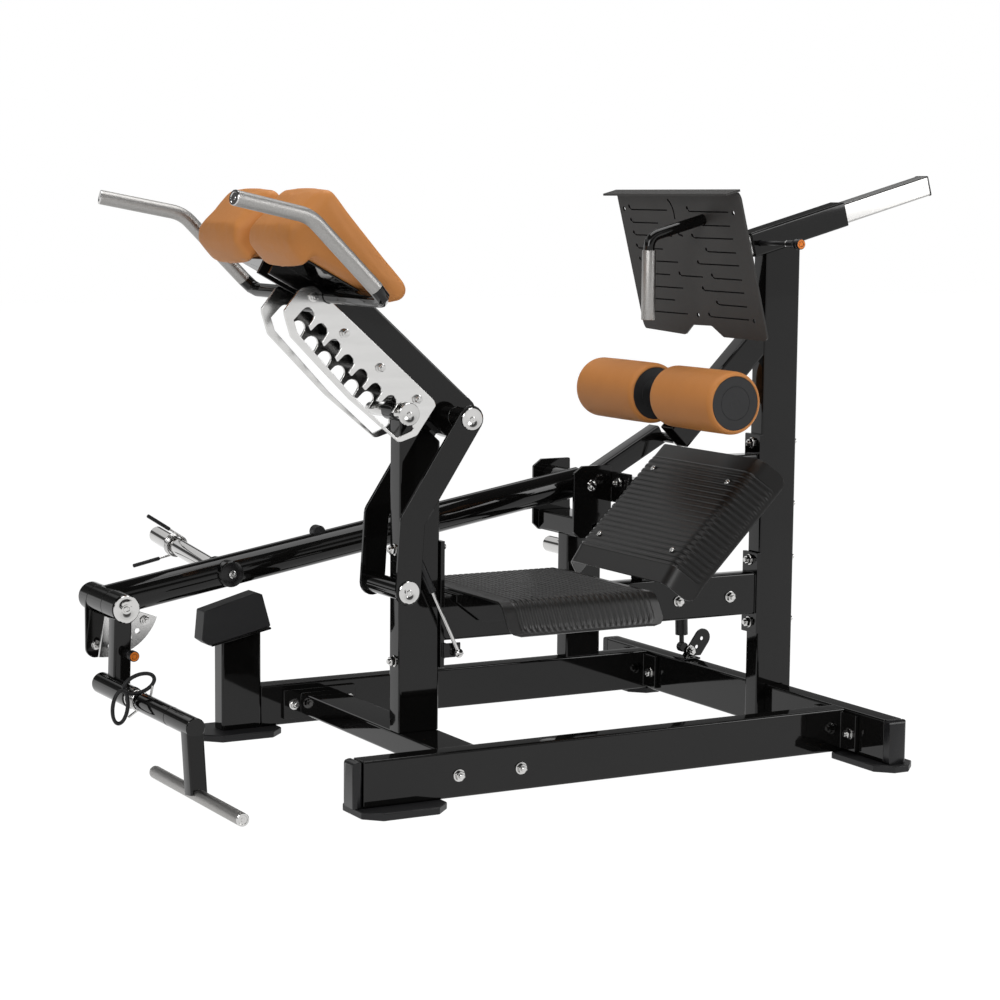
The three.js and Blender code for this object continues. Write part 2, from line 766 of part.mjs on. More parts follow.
function stepBracket() {
  const top = midRailTop + strapThick;
  const half = flangeWide / 2 + overrun + strapThick;
  let body = block([bracketStartX, -half, midRailTop - fit], [bracketEndX, half, top]);
  const outline = new THREE.Shape();
  outline.moveTo(bracketStartX, top);
  outline.lineTo(bracketStartX, top - gussetDrop / 4);
  outline.lineTo(bracketStartX + gussetDrop, top - gussetDrop);
  outline.lineTo(bracketEndX - gussetDrop / 3, top - gussetDrop);
  outline.lineTo(bracketEndX, top);
  for (const y of [-half, half - strapThick]) body = body.add(sidePlate(outline, y, y + strapThick));
  return body;
}

// Inclined tread at 45 degrees on its own short rail and a strap from the mid rail
const inclineLong = (inclineHighX - inclineLowX) * Math.SQRT2;
const incline = piece(base, "incline_plate", tread(inclineLong, inclineLip, inclineLipDegrees), rubber);
incline.geometry.rotateZ(Math.PI);
incline.rotation.y = -Math.PI / 4;
incline.position.set(inclineHighX, 0, inclineHighX - inclineOffset);
const inclineBack = ribbedThick * Math.SQRT2;
function inclineRail() {
  const start = inclineRailZ + tubeTall / 2 + inclineOffset;
  const rail = tubeAlongX(tube(tubeNarrow, tubeTall, midEnd - start + 2 * tubeTall), start - 2 * tubeTall,
    0, inclineRailZ);
  const front = new THREE.BoxGeometry(3 * tubeTall, 3 * tubeTall, 8 * tubeTall);
  front.translate(-1.5 * tubeTall, 0, 0).rotateY(Math.PI / 4);
  front.translate(inclineOffset + inclineBack + fit * Math.SQRT2 + inclineRailZ, 0, inclineRailZ);
  const ledge = new THREE.BoxGeometry(plateThick, 2.6 * tubeNarrow, 1.6 * tubeTall);
  ledge.translate(plateThick / 2 + fit, 0, 0).rotateY(Math.PI / 4);
  ledge.translate(inclineOffset + inclineBack + inclineRailZ, 0, inclineRailZ);
  const vent = round("x", tubeNarrow / 4, [0, inclineRailZ], start - 2 * tubeTall, start + tubeTall);
  return rail.subtract(solid(front)).add(solid(ledge)).subtract(vent)
    .add(railFlange(midEnd - flangeThick, inclineRailZ - tallFlangeTall / 2, inclineRailZ
      + tallFlangeTall / 2,
      inclineRailZ));
}
piece(base, "incline_rail", inclineRail(), blackPaint);
const strapZ = midRailTop - fit;
function inclineStrap() {
  const foot = block([strapFootX, -tubeNarrow / 2, strapZ],
    [strapFootX + strapFootLong, tubeNarrow / 2, strapZ + strapThick]);
  const riser = strapFootX - inclineOffset - inclineBack - fit * 2;
  const wall = block([strapFootX, -tubeNarrow / 2, strapZ],
    [strapFootX + strapThick, tubeNarrow / 2, riser - strapThick / 2]);
  const leg = new THREE.BoxGeometry(strapLegLong, tubeNarrow, strapThick);
  leg.translate(strapLegShift, 0, -strapThick / 2 - fit).rotateY(-Math.PI / 4);
  leg.translate(strapFootX + inclineBack / 2, 0, strapFootX - inclineOffset - inclineBack / 2);
  return foot.add(wall).add(solid(leg));
}
piece(base, "mid_rail", plainRail.add(stepBracket()).add(inclineStrap()).add(strutBracket), blackPaint);

// Pad carriage, built along the arm: u runs up the arm from the top pivot, v lies across it
const carriage = new THREE.Group();
machine.add(carriage);
const [armCos, armSin] = slopeDirection(armSlopeDegrees);
function alongArm(geometry) {
  return geometry.rotateY(radians(armSlopeDegrees)).translate(topPivotX, 0, topPivotZ);
}
function armRound(u, v, radius, from, to) {
  return round("y", radius, [topPivotX - u * armCos + v * armSin, topPivotZ + u * armSin + v * armCos],
    from, to);
}
const spacerDrop = tubeTall / 2 + spacerRadius - spacerSink;
function padArm() {
  const box = tube(tubeTall, tubeNarrow, armLong).rotateY(-Math.PI / 2);
  const hub = round("y", pivotTubeRadius, [topPivotX, topPivotZ],
    -linkY + plateThick / 2 + fit, linkY - plateThick / 2 - fit);
  let body = solid(alongArm(box)).add(armRound(0, 0, tubeTall / 2, -tubeNarrow / 2,
    tubeNarrow / 2)).add(hub);
  for (let index = 0; index < spacerCount; index++) {
    body = body.add(armRound(spacerStart + index * spacerPitch, -spacerDrop, spacerRadius,
      -rackInnerY + fit, rackInnerY - fit));
  }
  return body.subtract(round("y", shaftRadius + fit, [topPivotX, topPivotZ], -linkY, linkY));
}
piece(carriage, "pad_arm", padArm(), blackPaint);

// Notched rack plates: the window has one rounded notch per pad position above a travel channel.
// Its lower end follows the rack pin's arc about the top pivot, so the pads can be lifted.
function rackOutline() {
  const outline = roundedShape([
    [-rackStart, -rackTop], [-rackEnd + rackRound, -rackTop], [-rackEnd, -rackTop - rackRound],
    [-rackEnd, -pinDrop - rackRound], [-rackEnd + 2 * rackRound, -channelDrop],
    [-rackEnd / 2, -rackBottom], [-rackStart - rackRound, -rackBottom + 2 * notchPlay],
    [-rackStart, -pinDrop - rackRound],
  ], rackRound);
  const slot = pinRadius + notchPlay;
  const pinReach = Math.hypot(notchStart, pinDrop);
  const restAngle = Math.atan2(pinDrop, notchStart);
  const wallAngle = Math.acos(windowStart / (pinReach - slot));
  const hole = new THREE.Path();
  hole.moveTo(-windowStart - windowCorner, -channelDrop);
  hole.lineTo(-windowStart, -channelDrop + 2 * windowCorner);
  hole.absarc(0, 0, pinReach - slot, Math.PI + wallAngle, Math.PI + restAngle, true);
  notchSagShares.forEach((sagShare, index) => {
    const u = -notchStart - index * notchPitch;
    const v = -pinDrop * (1 + sagShare);
    const nextShare = notchSagShares[index + 1];
    hole.absarc(u, v, slot, index === 0 ? restAngle : 0, Math.PI, false);
    if (nextShare === undefined) return;
    hole.lineTo(u - slot - notchPlay, v - notchDepth);
    hole.lineTo(u - notchPitch + slot + notchPlay, -pinDrop * (1 + nextShare) - notchDepth);
  });
  hole.lineTo(-windowEnd, -pinDrop - rackRound);
  hole.lineTo(-windowEnd + rackRound, -channelDrop + windowCorner);
  hole.lineTo(-rackEnd / 2, -channelDrop);
  outline.holes.push(hole);
  return outline;
}
for (const [name, from] of [["rack_near", -rackInnerY - rackThick], ["rack_far", rackInnerY]]) {
  const plate = new THREE.ExtrudeGeometry(rackOutline(), {
    depth: rackThick, bevelEnabled: false, curveSegments: arcSteps,
  });
  plate.rotateX(Math.PI / 2).translate(0, from + rackThick, 0);
  const crossBarCut = round("y", barRadius + fit, [barCrossX, barCrossZ], -barHalf, barHalf);
  piece(carriage, name, solid(alongArm(plate)).subtract(crossBarCut), chrome);
}
piece(base, "rack_pin", round("y", pinRadius, [pinX, pinZ], pinNearY, pinFarY)
  .add(round("y", discRadius, [pinX, pinZ], pinNearY - discThick, pinNearY)), chrome);

// Hip pads: a wedge outline with crowned face, rolled edges and drawn-in sides
const padCornerShares = [
  [0.241, 0.388], [0.147, 0.292], [-0.006, 0.498], [0.006, 0.643], [0.336, 1.053], [1.38, -0.325],
];
const padRoundShares = [0.028, 0.048, 0.103, 0.103, 0.11, 0.125];
// The pad's outline moved inwards: arcs keep their number of points, so outlines can be stitched
function padRing(inset) {
  const points = padCornerShares.map(([x, z]) => new THREE.Vector2(x * padLong, z * padTall)).reverse();
  const radii = padRoundShares.map((share) => share * padTall).reverse();
  return points.flatMap((corner, index) => {
    const back = points[(index + points.length - 1) % points.length].clone().sub(corner).normalize();
    const ahead = points[(index + 1) % points.length].clone().sub(corner).normalize();
    const half = Math.acos(back.dot(ahead)) / 2;
    const side = ahead.cross(back) > 0 ? 1 : -1;
    const radius = Math.max(radii[index] - side * inset, padLeastRadius);
    const bisector = back.clone().add(ahead).normalize();
    const centre = corner.clone().addScaledVector(bisector, (side * inset + radius) / Math.sin(half));
    const facing = bisector.clone().negate().angle();
    const sweep = side * (Math.PI / 2 - half);
    return Array.from({ length: padArcSpots }, (_, spot) => {
      const angle = facing + sweep * (2 * spot / (padArcSpots - 1) - 1);
      return new THREE.Vector2(centre.x + radius * Math.cos(angle), centre.y + radius * Math.sin(angle));
    });
  });
}
function padGeometry() {
  const rows = [];
  for (let index = 0; index < padEdgeRows; index++) {
    const angle = (index / padEdgeRows) * Math.PI / 2;
    rows.push([padCrown + padEdge * (1 - Math.sin(angle)), padEdge * (1 - Math.cos(angle))]);
  }
  for (let index = 0; index <= padFaceRows; index++) {
    const share = index / padFaceRows;
    rows.push([padCrown * (1 - share) ** 2, padEdge + (padWide / 2 - padEdge) * share]);
  }
  const mirrored = rows.slice(0, -1).map(([inset, y]) => [inset, padWide - y]).reverse();
  const positions = [];
  for (const [inset, y] of [...rows, ...mirrored]) {
    for (const point of padRing(inset)) positions.push(point.x, y, point.y);
  }
  const count = padCornerShares.length * padArcSpots;
  const last = (rows.length + mirrored.length - 1) * count;
  const indices = [];
  for (let corner = 0; corner < last; corner++) {
    const next = corner % count === count - 1 ? corner + 1 - count : corner + 1;
    indices.push(corner, corner + count, next, next, corner + count, next + count);
  }
  for (const [a, b, c] of THREE.ShapeUtils.triangulateShape(padRing(rows[0][0]), [])) {
    indices.push(a, b, c, last + c, last + b, last + a);
  }
  const geometry = new THREE.BufferGeometry();
  geometry.setAttribute("position", new THREE.Float32BufferAttribute(positions, 3));
  geometry.setIndex(indices);
  return geometry;
}
function facingOut(geometry) {
  const place = geometry.attributes.position;
  const order = geometry.index;
  let volume = 0;
  const corner = [0, 1, 2].map(() => new THREE.Vector3());
  for (let index = 0; index < order.count; index += 3) {
    corner.forEach((vector, step) => vector.fromBufferAttribute(place, order.getX(index + step)));
    volume += corner[0].dot(corner[1].cross(corner[2]));
  }
  if (volume < 0) geometry.setIndex(Array.from(order.array).reverse());
  return geometry;
}
for (const [name, y] of [["pad_near", -padGap / 2 - padWide], ["pad_far", padGap / 2]]) {
  piece(carriage, name, facingOut(padGeometry()), leather).position.set(padLowX, y, padLowZ);
}

// Pad frames: a folded tray under each pad and a bent black tube that carries the hand bar
const [padHeelX, padHeelZ] = [padLowX + padCornerShares[0][0] * padLong, padLowZ
  + padCornerShares[0][1] * padTall];
const padToe = padCornerShares[padCornerShares.length - 1];
const trayAngle = Math.atan2(padHeelZ - padLowZ - padToe[1] * padTall, padLowX
  + padToe[0] * padLong - padHeelX);
const barSplit = at(barCrossX, 0, barCrossZ).lerp(at(barBendX, 0, barBendZ), barSplitShare);
const sides = { near: -1, far: 1 };
for (const [side, sign] of Object.entries(sides)) {
  const inner = tubeNarrow / 2 + fit;
  const barY = (share) => sign * (barHalf + share);
  const split = at(barSplit.x, barY(0), barSplit.z);
  const crossBar = bentTube([
    at(barCrossX, sign * inner, barCrossZ), at(barCrossX, barY(0), barCrossZ), split,
  ], barRadius, 3 * barRadius);
  const underPad = (long, wide, tall) => {
    const plate = new THREE.BoxGeometry(long, wide, tall);
    plate.translate(trayShift + long / 2, sign * (inner + wide / 2), -tall / 2 - fit);
    return solid(plate.rotateY(trayAngle).translate(padHeelX, 0, padHeelZ));
  };
  piece(carriage, `pad_frame_${side}`, crossBar.add(underPad(trayLong, trayWide, trayThick))
    .add(underPad(cheekLong, plateThick, cheekTall)), blackPaint);
  const lead = at(barBendX, barY(0), barBendZ).sub(split).normalize().multiplyScalar(fit);
  piece(carriage, `hand_bar_${side}`, bentTube([
    split.clone().add(lead), at(barBendX, barY(0), barBendZ), at(barTipX, barY(barTipSpread), barTipZ),
  ], barRadius, 2.4 * barRadius), knurled);
}

// Telescope: outer sleeve on the tall post, inner tube with the foot plate on its front end
function slopedRing(outer, inner, from, to) {
  const ring = rectangle(outer, outer, sleeveWall);
  ring.holes.push(rectangle(inner, inner, sleeveWall / 2));
  const geometry = new THREE.ExtrudeGeometry(ring, { depth: to - from, bevelEnabled: false,
    curveSegments: tubeSteps });
  return solid(sloped(geometry.translate(0, 0, from).rotateY(Math.PI / 2)));
}
const innerSize = sleeveSize - 2 * sleeveWall - 2 * fit;
const alongSlope = (distance) => [sleeveX + distance * slopeCos, sleeveZ + distance * slopeSin];
const pullHole = round("y", pullPinRadius + fit, alongSlope(pinAlong), -sleeveSize, 0);
piece(base, "telescope_sleeve", slopedRing(sleeveSize, sleeveSize - 2 * sleeveWall, sleeveFront, sleeveBack)
  .subtract(pullHole), blackPaint);
const slider = new THREE.Group();
machine.add(slider);
piece(slider, "telescope_tube", slopedRing(innerSize, innerSize - 2 * tubeWall, innerFront, innerBack),
  chrome);
function footPlateBody() {
  const wide = footPlateWide / 2;
  const shape = roundedShape([
    [-wide, footPlateUp], [wide, footPlateUp], [wide, -footPlateDown],
    [footPlateNotch, -footPlateDown], [footPlateNotch / 2, -footPlateDown + footPlateNotch / 3],
    [-footPlateNotch / 2, -footPlateDown + footPlateNotch / 3], [-footPlateNotch, -footPlateDown],
    [-wide, -footPlateDown],
  ], footPlateCorner);
  const sheet = new THREE.ExtrudeGeometry(shape, {
    depth: footPlateThick, bevelEnabled: false, curveSegments: arcSteps,
  });
  sheet.rotateX(Math.PI / 2).rotateZ(-Math.PI / 2).translate(innerFront - fit, 0, 0);
  const lip = new THREE.BoxGeometry(footPlateLip, 2 * wide, footPlateThick);
  lip.translate(innerFront - fit - footPlateLip / 2, 0, footPlateUp - footPlateThick / 2);
  return solid(sloped(sheet)).add(solid(sloped(lip)));
}
piece(slider, "foot_plate", footPlateBody(), rubber);
const plateFaceAlong = innerFront - footPlateThick - fit;
const [neckX, neckZ] = alongSlope(plateFaceAlong);
const handleRoot = at(neckX - footHandleUp * slopeSin, footHandleY, neckZ + footHandleUp * slopeCos);
const handleElbow = handleRoot.clone().add(at(-footHandleReach * slopeCos, 0, -footHandleReach * slopeSin));
const handleNeckEnd = handleElbow.clone().add(at(0, 0, -footHandleNeck));
const rootGap = at(-fit * slopeCos, 0, -fit * slopeSin);
piece(slider, "foot_handle", bentTube([handleRoot.clone().add(rootGap), handleElbow, handleNeckEnd],
  footHandleRadius, 2.4 * footHandleRadius), blackPaint);
piece(slider, "foot_handle_grip", round("z", footGripRadius, [handleNeckEnd.x, footHandleY],
  handleNeckEnd.z - fit - footGripLong, handleNeckEnd.z - fit), knurled);

// Spring-loaded pull pins: shank towards the work, a round head to pull
function pullPin(x, z, seatY, shank, head) {
  return round("y", pullPinRadius, [x, z], seatY - shank, seatY)
    .add(round("y", head, [x, z], seatY - shank - pullHeadLong, seatY - shank));
}
const telescopePin = new THREE.Group();
machine.add(telescopePin);
piece(telescopePin, "telescope_pin", pullPin(...alongSlope(pinAlong), -innerSize / 2 - pullSeat,
  pullShankLong, pullHeadRadius), plastic);

// Ankle rollers on an axle through the lug of the roller arm
const rollerRails = new THREE.Group();
machine.add(rollerRails);
function rollerArm() {
  const far = tallPostFront - fit;
  const centreOffset = rollerArmOffset + rollerArmDeep / Math.SQRT2;
  const start = rollerArmEndX;
  const length = (far - start) * Math.SQRT2 + tubeTall;
  const box = tube(tubeNarrow, rollerArmDeep, length);
  box.rotateY(Math.PI / 2).rotateX(Math.PI / 2).rotateY(-Math.PI / 4);
  const arm = solid(box.translate(start, 0, start - centreOffset));
  const beyond = block([far, -tubeTall, 0], [far + 3 * tubeTall, tubeTall, sleeveZ]);
  const lugRun = (rollerX - rollerZ - centreOffset) / 2;
  const lug = new THREE.BoxGeometry(Math.abs(lugRun) * Math.SQRT2, tubeNarrow, 2 * rollerLugRadius);
  lug.rotateY(Math.PI / 4).translate(rollerX - lugRun / 2, 0, rollerZ + lugRun / 2);
  return arm.subtract(beyond).add(solid(lug))
    .add(round("y", rollerLugRadius, [rollerX, rollerZ], -tubeNarrow / 2, tubeNarrow / 2))
    .subtract(round("y", axleRadius + fit, [rollerX, rollerZ], -tubeNarrow, tubeNarrow));
}
piece(base, "roller_arm", rollerArm(), blackPaint);
const axleHalf = rollerGap / 2 + rollerLong - 2 * rollerCapSink;
piece(base, "roller_axle", round("y", axleRadius, [rollerX, rollerZ], -axleHalf, axleHalf), chrome);
function rollerProfile() {
  const bore = axleRadius + rollerPlay;
  const bottom = rollerLong / 2;
  const points = [new THREE.Vector2(bore, -bottom + rollerCapSink)];
  for (const end of [-1, 1]) {
    const face = end * bottom;
    const arc = [
      [rollerCapRadius, face - end * rollerCapSink],
      [rollerCapRadius, face],
      [rollerRadius - rollerRound, face],
      [rollerRadius - rollerRound * easedShare, face - end * rollerRound * easedShare],
      [rollerRadius, face - end * rollerRound],
    ].map(([r, y]) => new THREE.Vector2(r, y));
    points.push(...(end < 0 ? arc : arc.reverse()));
  }
  points.push(new THREE.Vector2(bore, bottom - rollerCapSink), points[0].clone());
  return points;
}
const rollerPlaces = { roller_near: -1, roller_far: 1 };
for (const [name, sign] of Object.entries(rollerPlaces)) {
  const group = new THREE.Group();
  group.position.set(rollerX, sign * (rollerGap + rollerLong) / 2, rollerZ);
  machine.add(group);
  piece(group, name, surface(solid(new THREE.LatheGeometry(rollerProfile(), rollerSteps))), leather);
}

// Lever post with its forked bracket, pivot shaft and a storage horn at the back
function leverPost() {
  const beamTop = footThick + tubeTall + fit;
  const post = tubeAlongZ(tube(tubeTall, tubeNarrow, leverPostTop - beamTop), leverPostX, farBeamY, beamTop);
  const seat = tubeAlongY(tube(bracketHigh - bracketLow, tubeNarrow, bracketFarY - bracketNearY),
    (bracketLow + bracketHigh) / 2, bracketNearY, leverPostTop + tubeNarrow / 2 - tubeWall);
  const outline = roundedShape([
    [bracketLow, bracketBottom], [bracketHigh, bracketBottom], [bracketHigh, bracketTop],
    [bracketLow + plateThick, bracketTop], [bracketLow - 2 * plateThick, bracketTop - 2 * plateThick],
    [bracketLow - 2 * plateThick, bracketBottom + 2 * plateThick],
  ], plateThick);
  const near = sidePlate(outline, bracketNearY - plateThick, bracketNearY);
  const far = sidePlate(outline, bracketFarY, bracketFarY + plateThick);
  const bores = round("y", shaftRadius + fit, [leverX, leverZ], bracketNearY - tubeTall, bracketFarY
    + tubeTall);
  const seatVent = round("y", tubeNarrow / 5,
    [(bracketLow + bracketHigh) / 2, leverPostTop + tubeNarrow / 2 - tubeWall],
    bracketNearY - 2 * plateThick, bracketFarY + 2 * plateThick);
  return post.add(seat).add(near).add(far).subtract(bores).subtract(seatVent);
}
piece(base, "lever_shaft", round("y", shaftRadius, [leverX, leverZ],
  bracketNearY - plateThick - fit, bracketFarY + plateThick + fit)
  .add(round("y", 2 * shaftRadius, [leverX, leverZ], bracketNearY - plateThick - fit - discThick,
    bracketNearY - plateThick - fit)), chrome);
const postBack = farBeamY + tubeNarrow / 2 + fit;
piece(base, "storage_horn", round("y", hornRadius, [storageHornX, storageHornZ], postBack,
  postBack + storageHornLong), chrome);
const braceEnd = bracketNearY - plateThick / 2;
const crossBrace = tubeAlongY(tube(tubeNarrow, tubeNarrow, braceEnd - tubeNarrow / 2 - fit),
  crossBraceX, tubeNarrow / 2 + fit, crossBraceZ)
  .add(block([crossBraceX - tubeNarrow / 2 - plateThick, earNearY, crossBraceZ - earTall / 2],
    [crossBraceX - tubeNarrow / 2 + tubeWall / 2, braceEnd, crossBraceZ + earTall / 2]));
piece(base, "lever_post", leverPost().add(crossBrace), blackPaint);

// Lever weldment: long round tube, hub, rear arm, damper peg, horn tube, front knuckle and sector
const lever = new THREE.Group();
machine.add(lever);
const [leverCos, leverSin] = slopeDirection(leverSlopeDegrees);
const leverAxisZ = (x) => knuckleZ + (x - knuckleX) * Math.tan(radians(leverSlopeDegrees));
function roundAlongX(radius, innerRadius, fromX, toX) {
  const length = (toX - fromX) / leverCos;
  const ring = new THREE.Shape();
  ring.absarc(0, 0, radius, 0, 2 * Math.PI);
  const hole = new THREE.Path();
  hole.absarc(0, 0, innerRadius, 0, 2 * Math.PI);
  ring.holes.push(hole);
  const geometry = new THREE.ExtrudeGeometry(ring, { depth: length, bevelEnabled: false,
    curveSegments: roundSteps / 2 });
  geometry.rotateY(Math.PI / 2).rotateY(-radians(leverSlopeDegrees));
  return solid(geometry.translate(fromX, leverY, leverAxisZ(fromX)));
}
function sectorPlate() {
  const shape = new THREE.Shape();
  const start = radians(sectorStartDegrees);
  const end = radians(sectorEndDegrees);
  shape.moveTo(0, 0);
  shape.lineTo(sectorRadius * Math.cos(start), sectorRadius * Math.sin(start));
  shape.absarc(0, 0, sectorRadius, start, end, false);
  shape.lineTo(0, 0);
  for (let index = 0; index < sectorHoleCount; index++) {
    const angle = radians(sectorPinDegrees + index * sectorStepDegrees);
    const hole = new THREE.Path();
    hole.absarc(sectorHoleRadius * Math.cos(angle), sectorHoleRadius * Math.sin(angle), sectorHole, 0,
      2 * Math.PI);
    shape.holes.push(hole);
  }
  const geometry = new THREE.ExtrudeGeometry(shape, {
    depth: sectorThick, bevelEnabled: false, curveSegments: 2 * arcSteps,
  });
  geometry.rotateX(Math.PI / 2);
  return geometry.translate(knuckleX, sectorY + sectorThick, knuckleZ);
}
function leverBody() {
  const inner = leverRadius - tubeWall;
  const [rearCos, rearSin] = slopeDirection(rearArmSlopeDegrees);
  const rear = tube(rearArmSize, rearArmSize, rearArmLong);
  rear.rotateY(Math.PI / 2).rotateY(-radians(rearArmSlopeDegrees));
  rear.translate(leverX, rearArmY, leverZ);
  const hub = round("y", leverHubRadius, [leverX, leverZ], bracketNearY + fit, bracketFarY - fit);
  const peg = round("y", shaftRadius, [damperX, damperZ], damperY - damperEye - discThick,
    rearArmY);
  const pegBoss = round("y", damperEye, [damperX, damperZ], damperY + damperEye + fit, rearArmY);
  const hornTube = round("y", hornTubeRadius, [hornX, leverAxisZ(hornX)],
    hornTubeY, hornRootY - fit);
  const knuckle = round("y", knuckleRadius, [knuckleX, knuckleZ], knuckleFrom, knuckleTo);
  const bore = round("y", shaftRadius + turnFit, [knuckleX, knuckleZ],
    knuckleNearY - tubeTall, knuckleFarY + tubeTall);
  return roundAlongX(leverRadius, inner, knuckleX, leverX)
    .add(solid(rear)).add(hub).add(peg).add(pegBoss).add(hornTube).add(knuckle)
    .subtract(round("y", shaftRadius + turnFit, [leverX, leverZ],
      bracketNearY - tubeTall, bracketFarY + tubeTall))
    .subtract(bore);
}
piece(lever, "lever_arm", leverBody(), blackPaint);
const sector = solid(sectorPlate())
  .subtract(round("y", knuckleRadius + fit, [knuckleX, knuckleZ], knuckleFrom - tubeTall, knuckleTo
    + tubeTall))
  .subtract(roundAlongX(leverRadius + fit, shaftRadius, knuckleX, leverX));
piece(lever, "sector_plate", sector, chrome);
const [hornCos, hornSin] = slopeDirection(hornTiltDegrees);
const hornZ = leverAxisZ(hornX);
const horn = piece(lever, "weight_horn", round("y", hornRadius, [0, 0], 0, hornLong), chrome);
horn.rotation.x = radians(hornTiltDegrees);
horn.position.set(hornX, hornRootY + fit + hornRadius * hornSin, hornZ);

// Damper: the body stands on the rear beam's anchor, its rod hangs from the rear arm's peg
const damperRun = new THREE.Vector2(anchorX - damperX, anchorZ - damperZ);
const damperTurn = -damperRun.angle();
function damperBody() {
  const body = new THREE.CylinderGeometry(damperRadius, damperRadius, damperLong, roundSteps);
  body.rotateZ(Math.PI / 2).translate(-damperNeck - damperLong / 2, 0, 0);
  const bore = new THREE.CylinderGeometry(damperBore, damperBore, damperLong, roundSteps);
  bore.rotateZ(Math.PI / 2).translate(-damperNeck - 2 * plateThick - damperLong / 2, 0, 0);
  const neck = new THREE.CylinderGeometry(damperEye * neckShare, damperEye * neckShare, damperNeck
    + plateThick, smallSteps);
  neck.rotateZ(Math.PI / 2).translate(-(damperNeck + plateThick) / 2, 0, 0);
  return solid(body).subtract(solid(bore)).add(solid(neck))
    .add(round("y", damperEye, [0, 0], -damperEyeHalf, damperEyeHalf))
    .subtract(round("y", anchorPin + turnFit, [0, 0], -tubeNarrow, tubeNarrow));
}
const damperGroup = new THREE.Group();
damperGroup.position.set(anchorX, damperY, anchorZ);
damperGroup.rotation.y = damperTurn;
machine.add(damperGroup);
piece(damperGroup, "damper_body", damperBody(), plastic);
function damperRod() {
  const rod = new THREE.CylinderGeometry(damperRodRadius, damperRodRadius, rodReach, smallSteps);
  rod.rotateZ(Math.PI / 2).translate(rodReach / 2, 0, 0);
  return solid(rod).add(round("y", damperEye + tubeWall, [0, 0], -damperEyeHalf, damperEyeHalf))
    .subtract(round("y", shaftRadius + turnFit, [0, 0], -tubeNarrow, tubeNarrow));
}
const rodGroup = new THREE.Group();
rodGroup.position.set(damperX, damperY, damperZ);
rodGroup.rotation.y = damperTurn;
lever.add(rodGroup);
piece(rodGroup, "damper_rod", damperRod(), chrome);
function damperAnchor() {
  const face = damperY - damperEyeHalf - fit;
  const from = face - strapThick;
  const lean = radians(anchorLeanDegrees);
  const beamTop = footThick + tubeTall + fit;
  const strip = new THREE.BoxGeometry(anchorPlateWide, strapThick, 2 * anchorPlateLong);
  strip.rotateY(lean).translate(anchorPlateX, from + strapThick / 2, beamTop);
  const below = block([anchorX - tubeTall, from - tubeTall, 0], [anchorX + 2 * tubeTall, from
    + tubeTall, beamTop]);
  const onPlate = (share) => [
    anchorPlateX + share * anchorPlateLong * Math.sin(lean), beamTop
      + share * anchorPlateLong * Math.cos(lean),
  ];
  let body = solid(strip)
    .add(round("y", anchorPlateWide / 2, onPlate(1), from, face))
    .add(round("y", anchorPin, [anchorX, anchorZ], from, damperY + damperEyeHalf + fit))
    .add(round("y", damperEye, [anchorX, anchorZ], from, face))
    .add(block([rearBeamX - tubeNarrow / 2, from - anchorPlateWide, beamTop],
      [rearBeamX + tubeNarrow / 2, face, beamTop + strapThick]))
    .subtract(below);
  for (const share of anchorHoleShares) {
    body = body.subtract(round("y", anchorHole, onPlate(share), from - overrun, face + overrun));
  }
  return body;
}
piece(base, "damper_anchor", damperAnchor(), blackPaint);

// Handle link hangs from the front knuckle and carries the hand bar's shaft
const handleLink = new THREE.Group();
lever.add(handleLink);
function linkBody() {
  const nearKnuckle = round("y", knuckleRadius, [knuckleX, knuckleZ], knuckleNearY, knuckleFrom - fit);
  const farKnuckle = round("y", knuckleRadius, [knuckleX, knuckleZ], knuckleTo + fit, knuckleFarY);
  const lean = Math.atan2(knuckleX - linkTubeLowX, knuckleZ - handleZ);
  const run = Math.hypot(knuckleZ - handleZ, knuckleX - linkTubeLowX);
  const near = new THREE.BoxGeometry(linkTubeSize, linkTubeSize, run);
  near.translate(0, 0, -run / 2).rotateY(lean).translate(knuckleX, linkTubeY, knuckleZ);
  const farPlate = sidePlate(roundedShape([
    [linkPlateX - linkPlateWide / 2, linkPlateZ], [linkPlateX + linkPlateWide / 2, linkPlateZ],
    [linkPlateX + linkPlateWide / 2, knuckleZ], [linkPlateX - linkPlateWide / 2, knuckleZ],
  ], plateThick), linkPlateY - plateThick / 2, linkPlateY + plateThick / 2);
  const sleeve = round("y", linkSleeveRadius, [handleX, handleZ], linkSleeveNearY, handleShaftFarY);
  const shaft = round("y", handleShaftRadius, [handleX, handleZ], handleNearY + 2 * discThick,
    handleShaftFarY);
  return nearKnuckle.add(farKnuckle).add(solid(near)).add(farPlate).add(sleeve).add(shaft)
    .add(round("y", shaftRadius, [knuckleX, knuckleZ], knuckleNearY, knuckleFarY));
}
piece(handleLink, "handle_link", linkBody(), blackPaint);
const linkPinDepth = sectorY - pullSeat;
const pinAngle = radians(sectorPinDegrees);
const linkPinX = knuckleX + sectorHoleRadius * Math.cos(pinAngle);
const linkPinZ = knuckleZ + sectorHoleRadius * Math.sin(pinAngle);
const linkPin = new THREE.Group();
handleLink.add(linkPin);
const linkNode = handleLink.children.find((mesh) => mesh.name === "handle_link");
const linkBore = round("y", pullPinRadius + fit, [linkPinX, linkPinZ], linkTubeY - tubeTall, linkPinDepth);
linkNode.geometry = surface(solid(linkNode.geometry).subtract(linkBore));
piece(linkPin, "link_pin", pullPin(linkPinX, linkPinZ, linkPinDepth,
  linkPinDepth - linkTubeY + linkTubeSize, pullHeadRadius), plastic);

